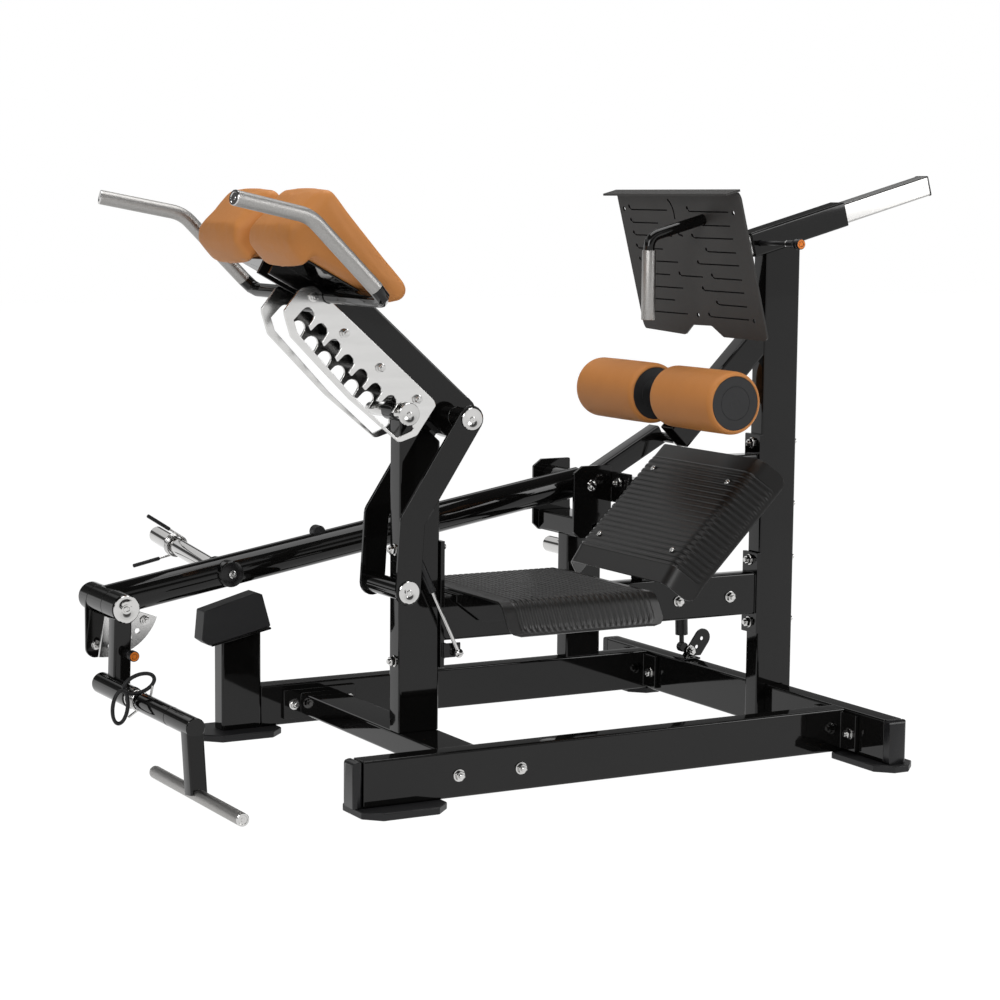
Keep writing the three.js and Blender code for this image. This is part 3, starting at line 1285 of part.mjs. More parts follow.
// Hand bar: a sleeve on the shaft, a drop arm and a knurled cross bar near the floor
const handle = new THREE.Group();
handleLink.add(handle);
const handBarCentre = [barCentreX, handBarZ];
function handleBody() {
  const sleeve = round("y", handleTubeRadius, [handleX, handleZ], handleNearY, handleSleeveFarY)
    .subtract(round("y", handleShaftRadius + fit, [handleX, handleZ], handleNearY + discThick,
      handleSleeveFarY + overrun));
  const drop = handleZ - handBarCentre[1];
  const lean = Math.atan2(handleX - handBarCentre[0], drop);
  const run = Math.hypot(drop, handleX - handBarCentre[0]);
  const arm = new THREE.BoxGeometry(dropArmThick, dropArmWide, run + handBarRadius);
  arm.translate(0, 0, -(run + handBarRadius) / 2).rotateY(lean);
  arm.translate(handleX, handleNearY + dropArmWide / 2, handleZ);
  return sleeve.add(solid(arm))
    .subtract(round("y", handleShaftRadius + fit, [handleX, handleZ], handleNearY + discThick,
      handleSleeveFarY + overrun))
    .subtract(round("y", handBarRadius + fit, handBarCentre, handleNearY - overrun, handleNearY
      + 2 * dropArmWide));
}
piece(handle, "drop_handle", handleBody(), blackPaint);
piece(handle, "hand_bar", round("y", handBarRadius, handBarCentre,
  barCentreY - handBarLong / 2, barCentreY + handBarLong / 2), knurled);

// Spring collars: one unbroken wire, with curls round the bar and a straight leg at each end
function collarPath(radius, legLong, legSteps) {
  const points = [];
  const steps = curlCount * curlSteps + legSteps;
  const startAngle = legSteps * Math.PI / curlSteps;
  for (let index = 0; index <= steps; index++) {
    const angle = startAngle - (index / curlSteps) * 2 * Math.PI;
    points.push(at(radius * Math.cos(angle), (index / curlSteps) * curlPitch, radius * Math.sin(angle)));
  }
  const legs = [points[0], points[steps]].map((end, index) => {
    const turned = index === 0 ? 1 : -1;
    const away = at(-turned * end.z, 0, turned * end.x).normalize();
    return end.clone().addScaledVector(away, legLong);
  });
  return [legs[0], ...points, legs[1]];
}
function wireGeometry(points, radius, sideCount) {
  const positions = [];
  const indices = [];
  let normal = at(0, 1, 0);
  points.forEach((point, index) => {
    const ahead = points[Math.min(index + 1, points.length - 1)];
    const behind = points[Math.max(index - 1, 0)];
    const along = ahead.clone().sub(behind).normalize();
    normal = normal.clone().addScaledVector(along, -normal.dot(along)).normalize();
    const across = along.clone().cross(normal);
    for (let side = 0; side < sideCount; side++) {
      const angle = (side / sideCount) * 2 * Math.PI;
      const spot = point.clone().addScaledVector(normal, radius * Math.cos(angle))
        .addScaledVector(across, radius * Math.sin(angle));
      positions.push(spot.x, spot.y, spot.z);
    }
  });
  const rows = points.length;
  for (let row = 0; row < rows - 1; row++) {
    for (let side = 0; side < sideCount; side++) {
      const next = (side + 1) % sideCount;
      const a = row * sideCount + side;
      const b = row * sideCount + next;
      indices.push(a, b, a + sideCount, b, b + sideCount, a + sideCount);
    }
  }
  for (let side = 1; side < sideCount - 1; side++) {
    const last = (rows - 1) * sideCount;
    indices.push(0, side + 1, side, last, last + side, last + side + 1);
  }
  const geometry = new THREE.BufferGeometry();
  geometry.setAttribute("position", new THREE.Float32BufferAttribute(positions, 3));
  geometry.setIndex(indices);
  return facingOut(geometry);
}
function leastGap(points, radius) {
  let least = Infinity;
  for (let one = 0; one < points.length; one++) {
    for (let other = one + curlSteps - 2; other < points.length; other++) {
      least = Math.min(least, points[one].distanceTo(points[other]) - 2 * radius);
    }
  }
  return least;
}
function springCollar(group, name, barSize, legLong, legSteps, place, tilt, turn) {
  const radius = (barSize + curlPlay + wireRadius) / Math.cos(Math.PI / curlSteps);
  const path = collarPath(radius, legLong, legSteps);
  console.log(`${name}: least gap between curls ${leastGap(path, wireRadius).toFixed(2)} mm`);
  const wire = wireGeometry(path, wireRadius, wireSides).rotateY(turn).rotateX(tilt);
  piece(group, name, wire.translate(...place), chrome);
}
springCollar(lever, "horn_collar", hornRadius, hornLegLong, hornLegSteps,
  [hornX, hornRootY + hornCollarAlong * hornCos, hornZ + hornCollarAlong * hornSin],
  radians(hornTiltDegrees), radians(hornCollarTurnDegrees));
springCollar(handleLink, "handle_collar", handleShaftRadius, handleLegLong, handleLegSteps,
  [handleX, handleCollarY, handleZ], 0, radians(handleCollarTurnDegrees));

// The origin sits on the floor at the middle of the outer box
const outer = new THREE.Box3().setFromObject(machine);
const middle = outer.getCenter(new THREE.Vector3());
machine.position.set(-middle.x, -middle.y, -outer.min.z);
console.log("outer box", outer.min.toArray().map(Math.round), outer.max.toArray().map(Math.round));

export default machine;
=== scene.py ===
import json
import math

import bmesh
import bpy
import numpy as np
from mathutils import Matrix, Vector

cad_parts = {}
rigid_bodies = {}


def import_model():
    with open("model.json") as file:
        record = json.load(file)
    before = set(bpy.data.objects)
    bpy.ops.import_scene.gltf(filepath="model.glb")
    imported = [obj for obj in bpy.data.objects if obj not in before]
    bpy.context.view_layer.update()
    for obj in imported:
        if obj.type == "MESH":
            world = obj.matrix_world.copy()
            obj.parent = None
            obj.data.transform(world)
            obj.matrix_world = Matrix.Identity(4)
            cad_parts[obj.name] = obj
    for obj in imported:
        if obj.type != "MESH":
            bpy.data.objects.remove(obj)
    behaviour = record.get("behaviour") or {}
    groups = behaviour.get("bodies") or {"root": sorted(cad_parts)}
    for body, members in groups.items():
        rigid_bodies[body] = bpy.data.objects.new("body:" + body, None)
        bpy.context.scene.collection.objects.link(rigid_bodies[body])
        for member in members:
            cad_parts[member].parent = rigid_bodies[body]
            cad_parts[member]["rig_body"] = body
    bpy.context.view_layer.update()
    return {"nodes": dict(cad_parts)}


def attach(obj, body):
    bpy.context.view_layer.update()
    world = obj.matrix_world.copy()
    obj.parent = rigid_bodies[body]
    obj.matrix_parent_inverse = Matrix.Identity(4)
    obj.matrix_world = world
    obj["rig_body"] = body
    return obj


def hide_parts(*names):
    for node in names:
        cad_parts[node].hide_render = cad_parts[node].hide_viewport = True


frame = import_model()

# View: the machine stands a little below eye height and is seen from its near left corner.
# Places in this file are millimetres on the machine: X along the beams, Y across, Z up.
machine_middle = np.array([873.1129, 251.5205, 0.0])
eye = np.array([-2624.81, -5833.95, 1508.45])
yaw, pitch, roll = (math.radians(angle) for angle in (29.29, 6.73, 0.55))
focal_share = 2.48259


def placed(points):
    """Millimetres on the machine as metres in the row frame: (point - middle) / 1000."""
    return (np.asarray(points, float) - machine_middle) / 1000.0


def unit(direction):
    """A direction of length one: itself over its length."""
    direction = np.asarray(direction, float)
    return direction / np.linalg.norm(direction)


ahead = np.array([math.sin(yaw) * math.cos(pitch), math.cos(yaw) * math.cos(pitch), -math.sin(pitch)])
level = np.array([math.cos(yaw), -math.sin(yaw), 0.0])
upright = np.cross(level, ahead)
right = math.cos(roll) * level + math.sin(roll) * upright
above = math.cos(roll) * upright - math.sin(roll) * level
camera_data = bpy.data.cameras.new("camera")
camera_data.sensor_width = 36
camera_data.lens = focal_share * camera_data.sensor_width
camera_data.clip_end = 60
camera = bpy.data.objects.new("camera", camera_data)
turn = np.eye(4)
turn[:3, 0], turn[:3, 1], turn[:3, 2], turn[:3, 3] = right, above, -ahead, placed(eye)
camera.matrix_world = Matrix(turn.tolist())
bpy.context.scene.collection.objects.link(camera)
bpy.context.scene.camera = camera
bpy.context.scene.view_settings.view_transform = "Standard"


# Studio: a wide pale floor that fades into a white room, with large soft lamps. The room is
# seen plain by the camera, and as bright and dark bands by the polished and coated surfaces.
class Value:
    """A number on its way through a node tree: a sum or a product of it adds a Math node."""

    def __init__(self, nodes, socket):
        """The node tree that the value belongs to, and the output that it comes from."""
        self.nodes = nodes
        self.socket = socket

    def join(self, operation, other):
        """This value and another one through one Math node."""
        return self.nodes.add("ShaderNodeMath", {"operation": operation}, {0: self, 1: other})

    def __add__(self, other):
        """This value plus the other."""
        return self.join("ADD", other)

    def __mul__(self, other):
        """This value times the other."""
        return self.join("MULTIPLY", other)


class Nodes:
    """A node tree, built by calls that each add a node and give back its output."""

    def __init__(self, tree):
        """The tree that the calls build."""
        self.tree = tree

    def put(self, socket, value):
        """Links a value to an input, or sets the input to a plain number, colour or scale."""
        if isinstance(value, Value):
            self.tree.links.new(value.socket, socket)
        else:
            socket.default_value = value

    def add(self, kind, settings, inputs, output=0):
        """A node with its settings and inputs. A colour ramp's stops are (place, grey) pairs."""
        node = self.tree.nodes.new(kind)
        for name, value in settings.items():
            if name == "stops":
                ramp = node.color_ramp.elements
                for spot, grey in value:
                    stop = ramp[0] if spot == 0 else ramp[-1] if spot == 1 else ramp.new(spot)
                    stop.color = (grey, grey, grey, 1)
            else:
                setattr(node, name, value)
        for name, value in inputs.items():
            self.put(node.inputs[name], value)
        return Value(self, node.outputs[output])

    def show(self, output, shader):
        """Sends a shader to the surface of the tree's output node."""
        self.put(self.tree.nodes[output].inputs["Surface"], shader)


class Finish(Nodes):
    """A material. Its fixed settings go on the surface shader."""

    def __init__(self, name, **fixed):
        """A new material of this name. In a setting's name _ stands for a space."""
        self.material = bpy.data.materials.new(name)
        self.material.use_nodes = True
        super().__init__(self.material.node_tree)
        self.shader = self.tree.nodes["Principled BSDF"]
        self.use(**fixed)

    def use(self, **inputs):
        """Sets or links inputs of the surface shader."""
        for name, value in inputs.items():
            self.put(self.shader.inputs[name.replace("_", " ")], value)

    def place(self, stretch=(1, 1, 1)):
        """The place on the piece in metres, times the stretch."""
        spot = self.add("ShaderNodeTexCoord", {}, {}, "Object")
        return self.add("ShaderNodeMapping", {}, {"Vector": spot, "Scale": stretch})

    def noise(self, place, scale, detail=3, rough=0.5):
        """Cloudy noise from 0 to 1, with about this many clouds a metre."""
        return self.add("ShaderNodeTexNoise", {}, {
            "Vector": place, "Scale": scale, "Detail": detail, "Roughness": rough,
        }, "Fac")

    def blend(self, amount, low, high):
        """A colour between two: low + amount (high - low)."""
        return self.add("ShaderNodeMix", {"data_type": "RGBA"}, {0: amount, 6: low, 7: high}, 2)

    def bump(self, height, strength, deep):
        """A normal that follows a height, which is this deep in metres at 1."""
        return self.add("ShaderNodeBump", {}, {"Height": height, "Strength": strength, "Distance": deep})


floor_finish = Finish("floor", Base_Color=(0.86, 0.86, 0.86, 1), Roughness=0.9)
seen = floor_finish.add("ShaderNodeLightPath", {}, {}, "Is Camera Ray")
mirrored = floor_finish.add("ShaderNodeLightPath", {}, {}, "Is Glossy Ray")
glow = floor_finish.add("ShaderNodeEmission", {}, {"Color": (1, 1, 1, 1), "Strength": 1.11})
surface = Value(floor_finish, floor_finish.shader.outputs[0])
floor_mix = floor_finish.add("ShaderNodeMixShader", {}, {0: (seen + mirrored) * 0.9, 1: surface, 2: glow})
floor_finish.show("Material Output", floor_mix)
floor_mesh = bpy.data.meshes.new("floor")
floor_reach = 30.0
floor_corners = [(x * floor_reach, y * floor_reach, 0) for x, y in ((-1, -1), (1, -1), (1, 1), (-1, 1))]
floor_mesh.from_pydata(floor_corners, [], [(0, 1, 2, 3)])
floor_mesh.materials.append(floor_finish.material)
floor = bpy.data.objects.new("floor", floor_mesh)
bpy.context.scene.collection.objects.link(floor)

world = bpy.data.worlds.new("room")
bpy.context.scene.world = world
world.use_nodes = True
room = Nodes(world.node_tree)
background = room.tree.nodes["Background"]
background.inputs["Strength"].default_value = 0.8
straight = room.add("ShaderNodeLightPath", {}, {}, "Is Camera Ray")
shiny = room.add("ShaderNodeLightPath", {}, {}, "Is Glossy Ray")
through = room.add("ShaderNodeLightPath", {}, {}, "Is Transmission Ray")
bright = room.add("ShaderNodeBackground", {}, {"Color": (1, 1, 1, 1), "Strength": 1.0})
facing = room.add("ShaderNodeTexCoord", {}, {}, "Generated")
height = room.add("ShaderNodeSeparateXYZ", {}, {"Vector": facing}, "Z")
bands = room.add("ShaderNodeValToRGB", {"stops": [
    (0, 0.8), (0.5, 0.9), (0.555, 0.9), (0.585, 0.12), (0.68, 0.05), (0.71, 0.85), (0.79, 0.75), (0.82, 0.05),
    (1, 0.05)]}, {"Fac": height * 0.5 + 0.5}, "Color")
screens = room.add("ShaderNodeBackground", {}, {"Color": bands, "Strength": 1.0})
plain = Value(room, background.outputs[0])
open_room = room.add("ShaderNodeMixShader", {}, {0: straight + through, 1: plain, 2: bright})
room_mix = room.add("ShaderNodeMixShader", {}, {0: shiny, 1: open_room, 2: screens})
room.show("World Output", room_mix)

# Each lamp: its place, the side of its square in metres, and its power in watts.
lamp_aim = (850, 100, 700)
lamps = {
    "lamp_left": ((-3300, -3600, 3400), 2.6, 120),
    "lamp_right": ((4300, -2900, 2600), 2.2, 70),
    "lamp_top": ((900, 300, 4600), 3.0, 100),
}
for name, (spot, wide, power) in lamps.items():
    lamp_data = bpy.data.lights.new(name, "AREA")
    lamp_data.shape = "SQUARE"
    lamp_data.size = wide
    lamp_data.energy = power
    lamp = bpy.data.objects.new(name, lamp_data)
    lamp.location = placed(spot)
    aim = Vector(placed(lamp_aim)) - lamp.location
    lamp.rotation_euler = aim.to_track_quat("-Z", "Y").to_euler()
    bpy.context.scene.collection.objects.link(lamp)


# Black frame: box section, plates and lugs, welded and then powder coated to a deep gloss.
# Each solid is copied, its flat faces are joined and its edges get the coat's soft rounding.
def tones(colour, low, high):
    """A darker and a paler tone of a colour: the colour times low, and times high."""
    return [tuple(share * channel for channel in colour) + (1,) for share in (low, high)]


def powder_coat(name, colour, shine):
    """Powder coat: its tone and roughness drift in soft clouds, under a faint orange-peel grain."""
    coat = Finish(name, Specular_IOR_Level=0.32)
    spot = coat.place()
    cloud = coat.noise(spot, 5, 4)
    grain = coat.noise(spot, 45, 2)
    coat.use(Base_Color=coat.blend(cloud, *tones(colour, 0.8, 1.25)), Roughness=cloud * 0.05 + shine,
             Normal=coat.bump(grain, 0.05, 0.0004))
    return coat.material


def join_flat(mesh, angle=0.6):
    """Merges loose triangles and dissolves the edges between faces that lie within the angle."""
    graph = bmesh.new()
    graph.from_mesh(mesh)
    bmesh.ops.remove_doubles(graph, verts=graph.verts, dist=2e-5)
    bmesh.ops.dissolve_limit(graph, angle_limit=math.radians(angle), verts=graph.verts, edges=graph.edges)
    graph.to_mesh(mesh)
    graph.free()


def soften(piece, width):
    """Rounds the piece's sharp edges with a bevel of this width in millimetres. The normals then
    lean on the large faces, so that these stay flat."""
    edge = piece.modifiers.new("edge", "BEVEL")
    edge.width = width / 1000
    edge.segments = 2
    edge.limit_method = "ANGLE"
    edge.angle_limit = math.radians(48)
    edge.use_clamp_overlap = False
    even = piece.modifiers.new("even", "WEIGHTED_NORMAL")
    even.keep_sharp = True


def shade(mesh, material, angle=32):
    """Gives a mesh its one material, and smooth faces except over edges sharper than the angle."""
    mesh.materials.clear()
    mesh.materials.append(material)
    mesh.polygons.foreach_set("material_index", np.zeros(len(mesh.polygons), int))
    mesh.polygons.foreach_set("use_smooth", np.ones(len(mesh.polygons), bool))
    mesh.set_sharp_from_angle(angle=math.radians(angle))


def dressed(node, suffix, material, width=1.4):
    """A finished copy of a CAD solid, which stands for it. Its edges are rounded by the width."""
    mesh = frame["nodes"][node].data.copy()
    mesh.name = f"{node}_{suffix}"
    join_flat(mesh)
    shade(mesh, material)
    piece = bpy.data.objects.new(mesh.name, mesh)
    bpy.context.scene.collection.objects.link(piece)
    if width:
        soften(piece, width)
    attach(piece, frame["nodes"][node]["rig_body"])
    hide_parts(node)
    return piece


gloss_black = powder_coat("gloss_black", (0.0052, 0.0050, 0.0048), 0.02)
satin_black = powder_coat("satin_black", (0.007, 0.007, 0.007), 0.2)
coated = ["near_beam", "far_beam", "rear_beam", "front_cross_beam", "bumper_stand", "front_post", "tall_post",
          "mid_rail", "link_near", "link_far", "incline_rail", "telescope_sleeve", "roller_arm",
          "lever_post", "damper_anchor", "pad_arm"]
for node in coated:
    dressed(node, "coated", gloss_black)


# Feet and beam ends: pressed rubber pads under the beams, domed plastic caps pushed into the open
# tube ends, and the slanted rubber block on the stand that the lever comes down on.
def moulded(name, colour, shine, grain_size, relief, level=0.3):
    """Moulded rubber, plastic or textured sheet: cloudy tone, and a grain in roughness and relief."""
    rubber = Finish(name, Specular_IOR_Level=level)
    spot = rubber.place()
    cloud = rubber.noise(spot, 9, 4)
    grain = rubber.noise(spot, grain_size, 3, 0.6)
    rubber.use(Base_Color=rubber.blend(cloud, *tones(colour, 0.75, 1.3)), Roughness=grain * 0.12 + shine,
               Normal=rubber.bump(grain, relief, 0.0004))
    return rubber.material


foot_rubber = moulded("foot_rubber", (0.013, 0.013, 0.014), 0.42, 420, 0.35)
cap_plastic = moulded("cap_plastic", (0.011, 0.011, 0.012), 0.22, 900, 0.08)
for node in ["foot_front_near", "foot_front_far", "foot_rear_near", "foot_rear_far"]:
    dressed(node, "rubber", foot_rubber, 3)
for node in ["near_beam_cap", "rear_cap_near", "rear_cap_far"]:
    dressed(node, "domed", cap_plastic, 0)
dressed("bumper", "rubber", foot_rubber, 2)


# Polished steel: pivot shafts with a broad disc on each end, the rack pin, the lever's shaft, the
# horns and the gas strut's rod. Turned and swept pieces are rings of points joined into skins.
def skin(rings):
    """Joins rings of points: each point meets its neighbours on its own and the next ring,
    and one flat face closes the first and the last ring."""
    rows, columns, _ = rings.shape
    index = np.arange(rows * columns).reshape(rows, columns)
    beside = np.roll(index, -1, axis=1)
    sides = np.stack([index[:-1], beside[:-1], beside[1:], index[1:]], axis=-1).reshape(-1, 4)
    return rings.reshape(-1, 3), [sides, np.stack([index[0][::-1], index[-1]])]


def turned(start, along, profile, sides=56):
    """A turned solid: for each profile pair (distance, radius) a ring of that radius stands
    at that distance along the axis."""
    along = unit(along)
    across = unit(np.cross(along, (0.31, 0.27, 0.91)))
    third = np.cross(along, across)
    angle = np.arange(sides) * 2 * math.pi / sides
    circle = np.cos(angle)[:, None] * across + np.sin(angle)[:, None] * third
    profile = np.array(profile, float)
    return skin(np.asarray(start, float) + profile[:, 0, None, None] * along
                + profile[:, 1, None, None] * circle)


def rod(start, end, radius, edge=1.5, sides=56):
    """A round bar between two points, with its end edges broken."""
    start, end = np.asarray(start, float), np.asarray(end, float)
    long = np.linalg.norm(end - start)
    eased = 0.3 * edge
    return turned(start, end - start, [
        (0, radius - edge), (eased, radius - eased), (edge, radius),
        (long - edge, radius), (long - eased, radius - eased), (long, radius - edge),
    ], sides)


def circle_outline(radius, sides=40):
    """Points round a circle: (radius cos a, radius sin a)."""
    angle = np.arange(sides) * 2 * math.pi / sides
    return radius * np.stack([np.cos(angle), np.sin(angle)], axis=1)


def box_outline(wide, tall, corner, spots=6):
    """Points round a rectangle with corners that are quarter circles."""
    angle = np.linspace(0, math.pi / 2, spots)
    arc = corner * np.stack([np.cos(angle), np.sin(angle)], axis=1)
    x, y = wide / 2 - corner, tall / 2 - corner
    turns = [(1, 1, arc), (-1, 1, arc[::-1]), (-1, -1, arc), (1, -1, arc[::-1])]
    return np.concatenate([np.array([sx * x, sy * y]) + part * (sx, sy) for sx, sy, part in turns])


def eased_path(corners, bend, spots=12):
    """Straight runs joined by quadratic curves that start and end the bend's length from each corner."""
    corners = np.array(corners, float)
    share = np.linspace(0, 1, spots)[:, None]
    parts = [corners[:1]]
    for before, corner, after in zip(corners[:-2], corners[1:-1], corners[2:]):
        room = 0.48 * min(np.linalg.norm(before - corner), np.linalg.norm(after - corner))
        reach = min(bend, room) if len(corners) > 3 else min(bend, 1.9 * room)
        start = corner + reach * unit(before - corner)
        end = corner + reach * unit(after - corner)
        parts.append((1 - share) ** 2 * start + 2 * share * (1 - share) * corner + share ** 2 * end)
    parts.append(corners[-1:])
    return np.concatenate(parts)


def swept(path, side, outline):
    """Carries an outline along a path: its second axis stays as near as it can to the side direction."""
    path = np.asarray(path, float)
    along = np.gradient(path, axis=0)
    along /= np.linalg.norm(along, axis=1)[:, None]
    first = np.cross(np.asarray(side, float), along)
    first /= np.linalg.norm(first, axis=1)[:, None]
    second = np.cross(along, first)
    rings = path[:, None] + outline[None, :, :1] * first[:, None] + outline[None, :, 1:] * second[:, None]
    return skin(rings)


def cut_plate(outline, low, high, edge=1.2):
    """A flat plate: an X-Z outline between two Y places, with broken edges."""
    outline = np.asarray(outline, float)
    along = np.roll(outline, -1, axis=0) - np.roll(outline, 1, axis=0)
    inward = np.stack([-along[:, 1], along[:, 0]], axis=1)
    inward /= np.linalg.norm(inward, axis=1)[:, None]
    area = np.sum(outline[:, 0] * np.roll(outline[:, 1], -1) - outline[:, 1] * np.roll(outline[:, 0], -1))
    inward *= math.copysign(edge, area)
    levels = [(outline + inward, low), (outline, low + edge),
              (outline, high - edge), (outline + inward, high)]
    rings = [np.stack([flat[:, 0], np.full(len(flat), y), flat[:, 1]], axis=1) for flat, y in levels]
    return skin(np.array(rings))


def made(name, parts, material, body, nodes=(), angle=35):
    """Joins closed skins into one piece on its body. Their faces are turned to point outwards."""
    points, faces, count = [], [], 0
    for part_points, part_faces in parts:
        points.append(part_points)
        for block in part_faces:
            faces += (block + count).tolist()
        count += len(part_points)
    mesh = bpy.data.meshes.new(name)
    mesh.from_pydata(placed(np.concatenate(points)).tolist(), [], faces)
    graph = bmesh.new()
    graph.from_mesh(mesh)
    bmesh.ops.recalc_face_normals(graph, faces=graph.faces)
    graph.to_mesh(mesh)
    graph.free()
    shade(mesh, material, angle)
    piece = bpy.data.objects.new(name, mesh)
    bpy.context.scene.collection.objects.link(piece)
    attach(piece, body)
    if nodes:
        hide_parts(*nodes)
    return piece


def steel(name, colour, shine, stretch=(1, 1, 1), grain_size=240, relief=0.1):
    """Bare steel: cloudy tone, and a fine grain in roughness and relief, drawn out by the stretch."""
    metal = Finish(name, Metallic=1.0)
    spot = metal.place(stretch)
    grain = metal.noise(spot, grain_size, 4, 0.6)
    cloud = metal.noise(spot, 7, 3)
    metal.use(Base_Color=metal.blend(cloud, *tones(colour, 0.82, 1.0)), Roughness=grain * 0.1 + shine,
              Normal=metal.bump(grain, relief, 0.0002))
    return metal.material


bright_steel = steel("bright_steel", (0.63, 0.625, 0.615), 0.04)
plate_steel = steel("plate_steel", (0.74, 0.735, 0.725), 0.12, (1, 1, 6), 160, 0.05)


def pin_disc(centre, outward, radius, thick):
    """A disc on a shaft's end: chamfered rim, shallow dish, ring and socket screw."""
    outward = unit(outward)
    centre = np.asarray(centre, float)
    dish = [(0, radius - 1), (1, radius), (thick - 1.5, radius), (thick, radius - 1.5),
            (thick, 0.42 * radius), (thick - 0.8, 0.38 * radius), (thick - 0.8, 0.3 * radius)]
    screw = [(0, 0.24 * radius), (1.6, 0.24 * radius), (2.2, 0.2 * radius), (2.2, 0.1 * radius),
             (1.0, 0.09 * radius)]
    return [turned(centre, outward, dish), turned(centre + (thick - 0.9) * outward, outward, screw, 24)]


def at_y(spot, y):
    """The point at this Y on an axis that crosses the machine at an X-Z spot."""
    return spot[0], y, spot[1]


near_face, far_face = (0, -1, 0), (0, 1, 0)
low_pivot, top_pivot, notch, pivot = (314, 503.5), (498, 953), (322.75, 969.7), (1269, 675)
disc_face = 110.3
for node, spot in {"low_pivot_shaft": low_pivot, "top_pivot_shaft": top_pivot}.items():
    parts = [rod(at_y(spot, -disc_face), at_y(spot, disc_face), 12)]
    parts += pin_disc(at_y(spot, -disc_face), near_face, 30, 6)
    parts += pin_disc(at_y(spot, disc_face), far_face, 30, 6)
    made(f"{node}_turned", parts, bright_steel, "frame", [node])
pin_parts = [rod(at_y(notch, -88), at_y(notch, 136), 17)] + pin_disc(at_y(notch, -88), near_face, 30, 6)
made("rack_pin_turned", pin_parts, bright_steel, "frame", ["rack_pin"])
shaft_parts = [rod(at_y(pivot, 531), at_y(pivot, 800), 12)]
shaft_parts += pin_disc(at_y(pivot, 539.7), near_face, 17, 3) + pin_disc(at_y(pivot, 794.3), far_face, 24, 5)
made("lever_shaft_turned", shaft_parts, bright_steel, "frame", ["lever_shaft"])
for node in ["roller_axle", "storage_horn", "weight_horn", "strut_rod"]:
    dressed(node, "polished", bright_steel, 0.8)


# Telescope and racks: a square satin steel tube that slides in its sloping sleeve, with a plastic
# cap in its open end and a small screw behind it, and the two bare rack plates under the pads.
slope = math.radians(15.5)
sleeve_x, sleeve_z = 1608, 1454.3


def on_slope(along, y, lift=0.0):
    """A point on the telescope's axis line: along it, across it and at a right angle above it."""
    return np.array([sleeve_x + along * math.cos(slope) - lift * math.sin(slope), y,
                     sleeve_z + along * math.sin(slope) + lift * math.cos(slope)])


satin_steel = steel("satin_steel", (0.47, 0.465, 0.455), 0.2)
dressed("telescope_tube", "polished", satin_steel, 0.8)
end_cap = swept([on_slope(475.8, 0), on_slope(480, 0)], far_face, box_outline(59, 59, 5))
made("telescope_end_cap", [end_cap], satin_black, "telescope")
cap_screw = [(0, 4), (0.8, 3.8), (1.2, 3), (1.2, 1.6), (0.6, 1.4)]
made("telescope_cap_screw", [turned(on_slope(458, -28.6, 2), near_face, cap_screw, 20)], bright_steel,
     "telescope")
for node in ["rack_near", "rack_far"]:
    dressed(node, "polished", plate_steel, 1.2)


# Step plate and incline plate: ribbed rubber-covered treads whose sides flare down.
# The ribs run across and over both sides, and stop short of the smooth ends and hems.
tread_rubber = moulded("tread_rubber", (0.0095, 0.0090, 0.0087), 0.27, 520, 0.1, 0.4)
rib_pitch = 17.5
rib_high = 3.0
rib_fade = 6.0
rubber_thick = 6.2
tread_half = 250
skirt_out = 52
skirt_corner = 34.0


def tread(length, lip, lip_degrees, drop, hem, first, last, rows=520, columns=96):
    """A tread's top on a grid, u along it and the columns across it and down both sides. A rib has
    the height wave^2 (3 - 2 wave), where wave = 0.5 + 1.3 cos(2 pi u / pitch) kept from 0 to 1, and
    it fades out near the smooth ends and hems. The sides' corners are quarter circles."""
    out = tread_half + skirt_out
    section = eased_path([(0, -out, -drop), (0, -tread_half, 0), (0, tread_half, 0), (0, out, -drop)], 26, 14)
    runs = np.concatenate([[0], np.cumsum(np.linalg.norm(np.diff(section, axis=0), axis=1))])
    across = np.linspace(0, runs[-1], columns)
    y = np.interp(across, runs, section[:, 1])
    z = np.interp(across, runs, section[:, 2])
    from_hem = np.minimum(across, runs[-1] - across)
    near = np.clip(skirt_corner - from_hem, 0, skirt_corner)
    inset = skirt_corner - np.sqrt(skirt_corner ** 2 - near ** 2)
    share = np.linspace(0, 1, rows)[:, None]
    u = inset + share * (length + lip - 2 * inset)
    inside = np.clip((u - first) / rib_fade, 0, 1) * np.clip((last - u) / rib_fade, 0, 1)
    inside = inside * np.clip((from_hem - hem) / rib_fade, 0, 1)
    wave = np.clip(0.5 + 1.3 * np.cos(2 * math.pi * (u - first) / rib_pitch), 0, 1)
    rib = rib_high * (3 * wave ** 2 - 2 * wave ** 3) * inside
    slope_y = np.gradient(y)
    slope_z = np.gradient(z)
    size = np.hypot(slope_y, slope_z)
    z_all = z - np.clip(u - length, 0, None) * math.tan(math.radians(lip_degrees)) + rib * slope_y / size
    y_all = y - rib * slope_z / size
    return u, y_all + 0 * u, z_all


def tread_piece(name, points, node):
    """Joins a tread's grid and gives it the rubber's thickness on its underside."""
    rows, columns, _ = points.shape
    index = np.arange(rows * columns).reshape(rows, columns)
    faces = np.stack([index[:-1, :-1], index[1:, :-1], index[1:, 1:], index[:-1, 1:]], axis=-1).reshape(-1, 4)
    mesh = bpy.data.meshes.new(name)
    mesh.from_pydata(placed(points.reshape(-1, 3)).tolist(), [], faces.tolist())
    shade(mesh, tread_rubber, 60)
    piece = bpy.data.objects.new(name, mesh)
    bpy.context.scene.collection.objects.link(piece)
    wall = piece.modifiers.new("wall", "SOLIDIFY")
    wall.thickness = rubber_thick / 1000
    wall.offset = -1
    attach(piece, "frame")
    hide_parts(node)


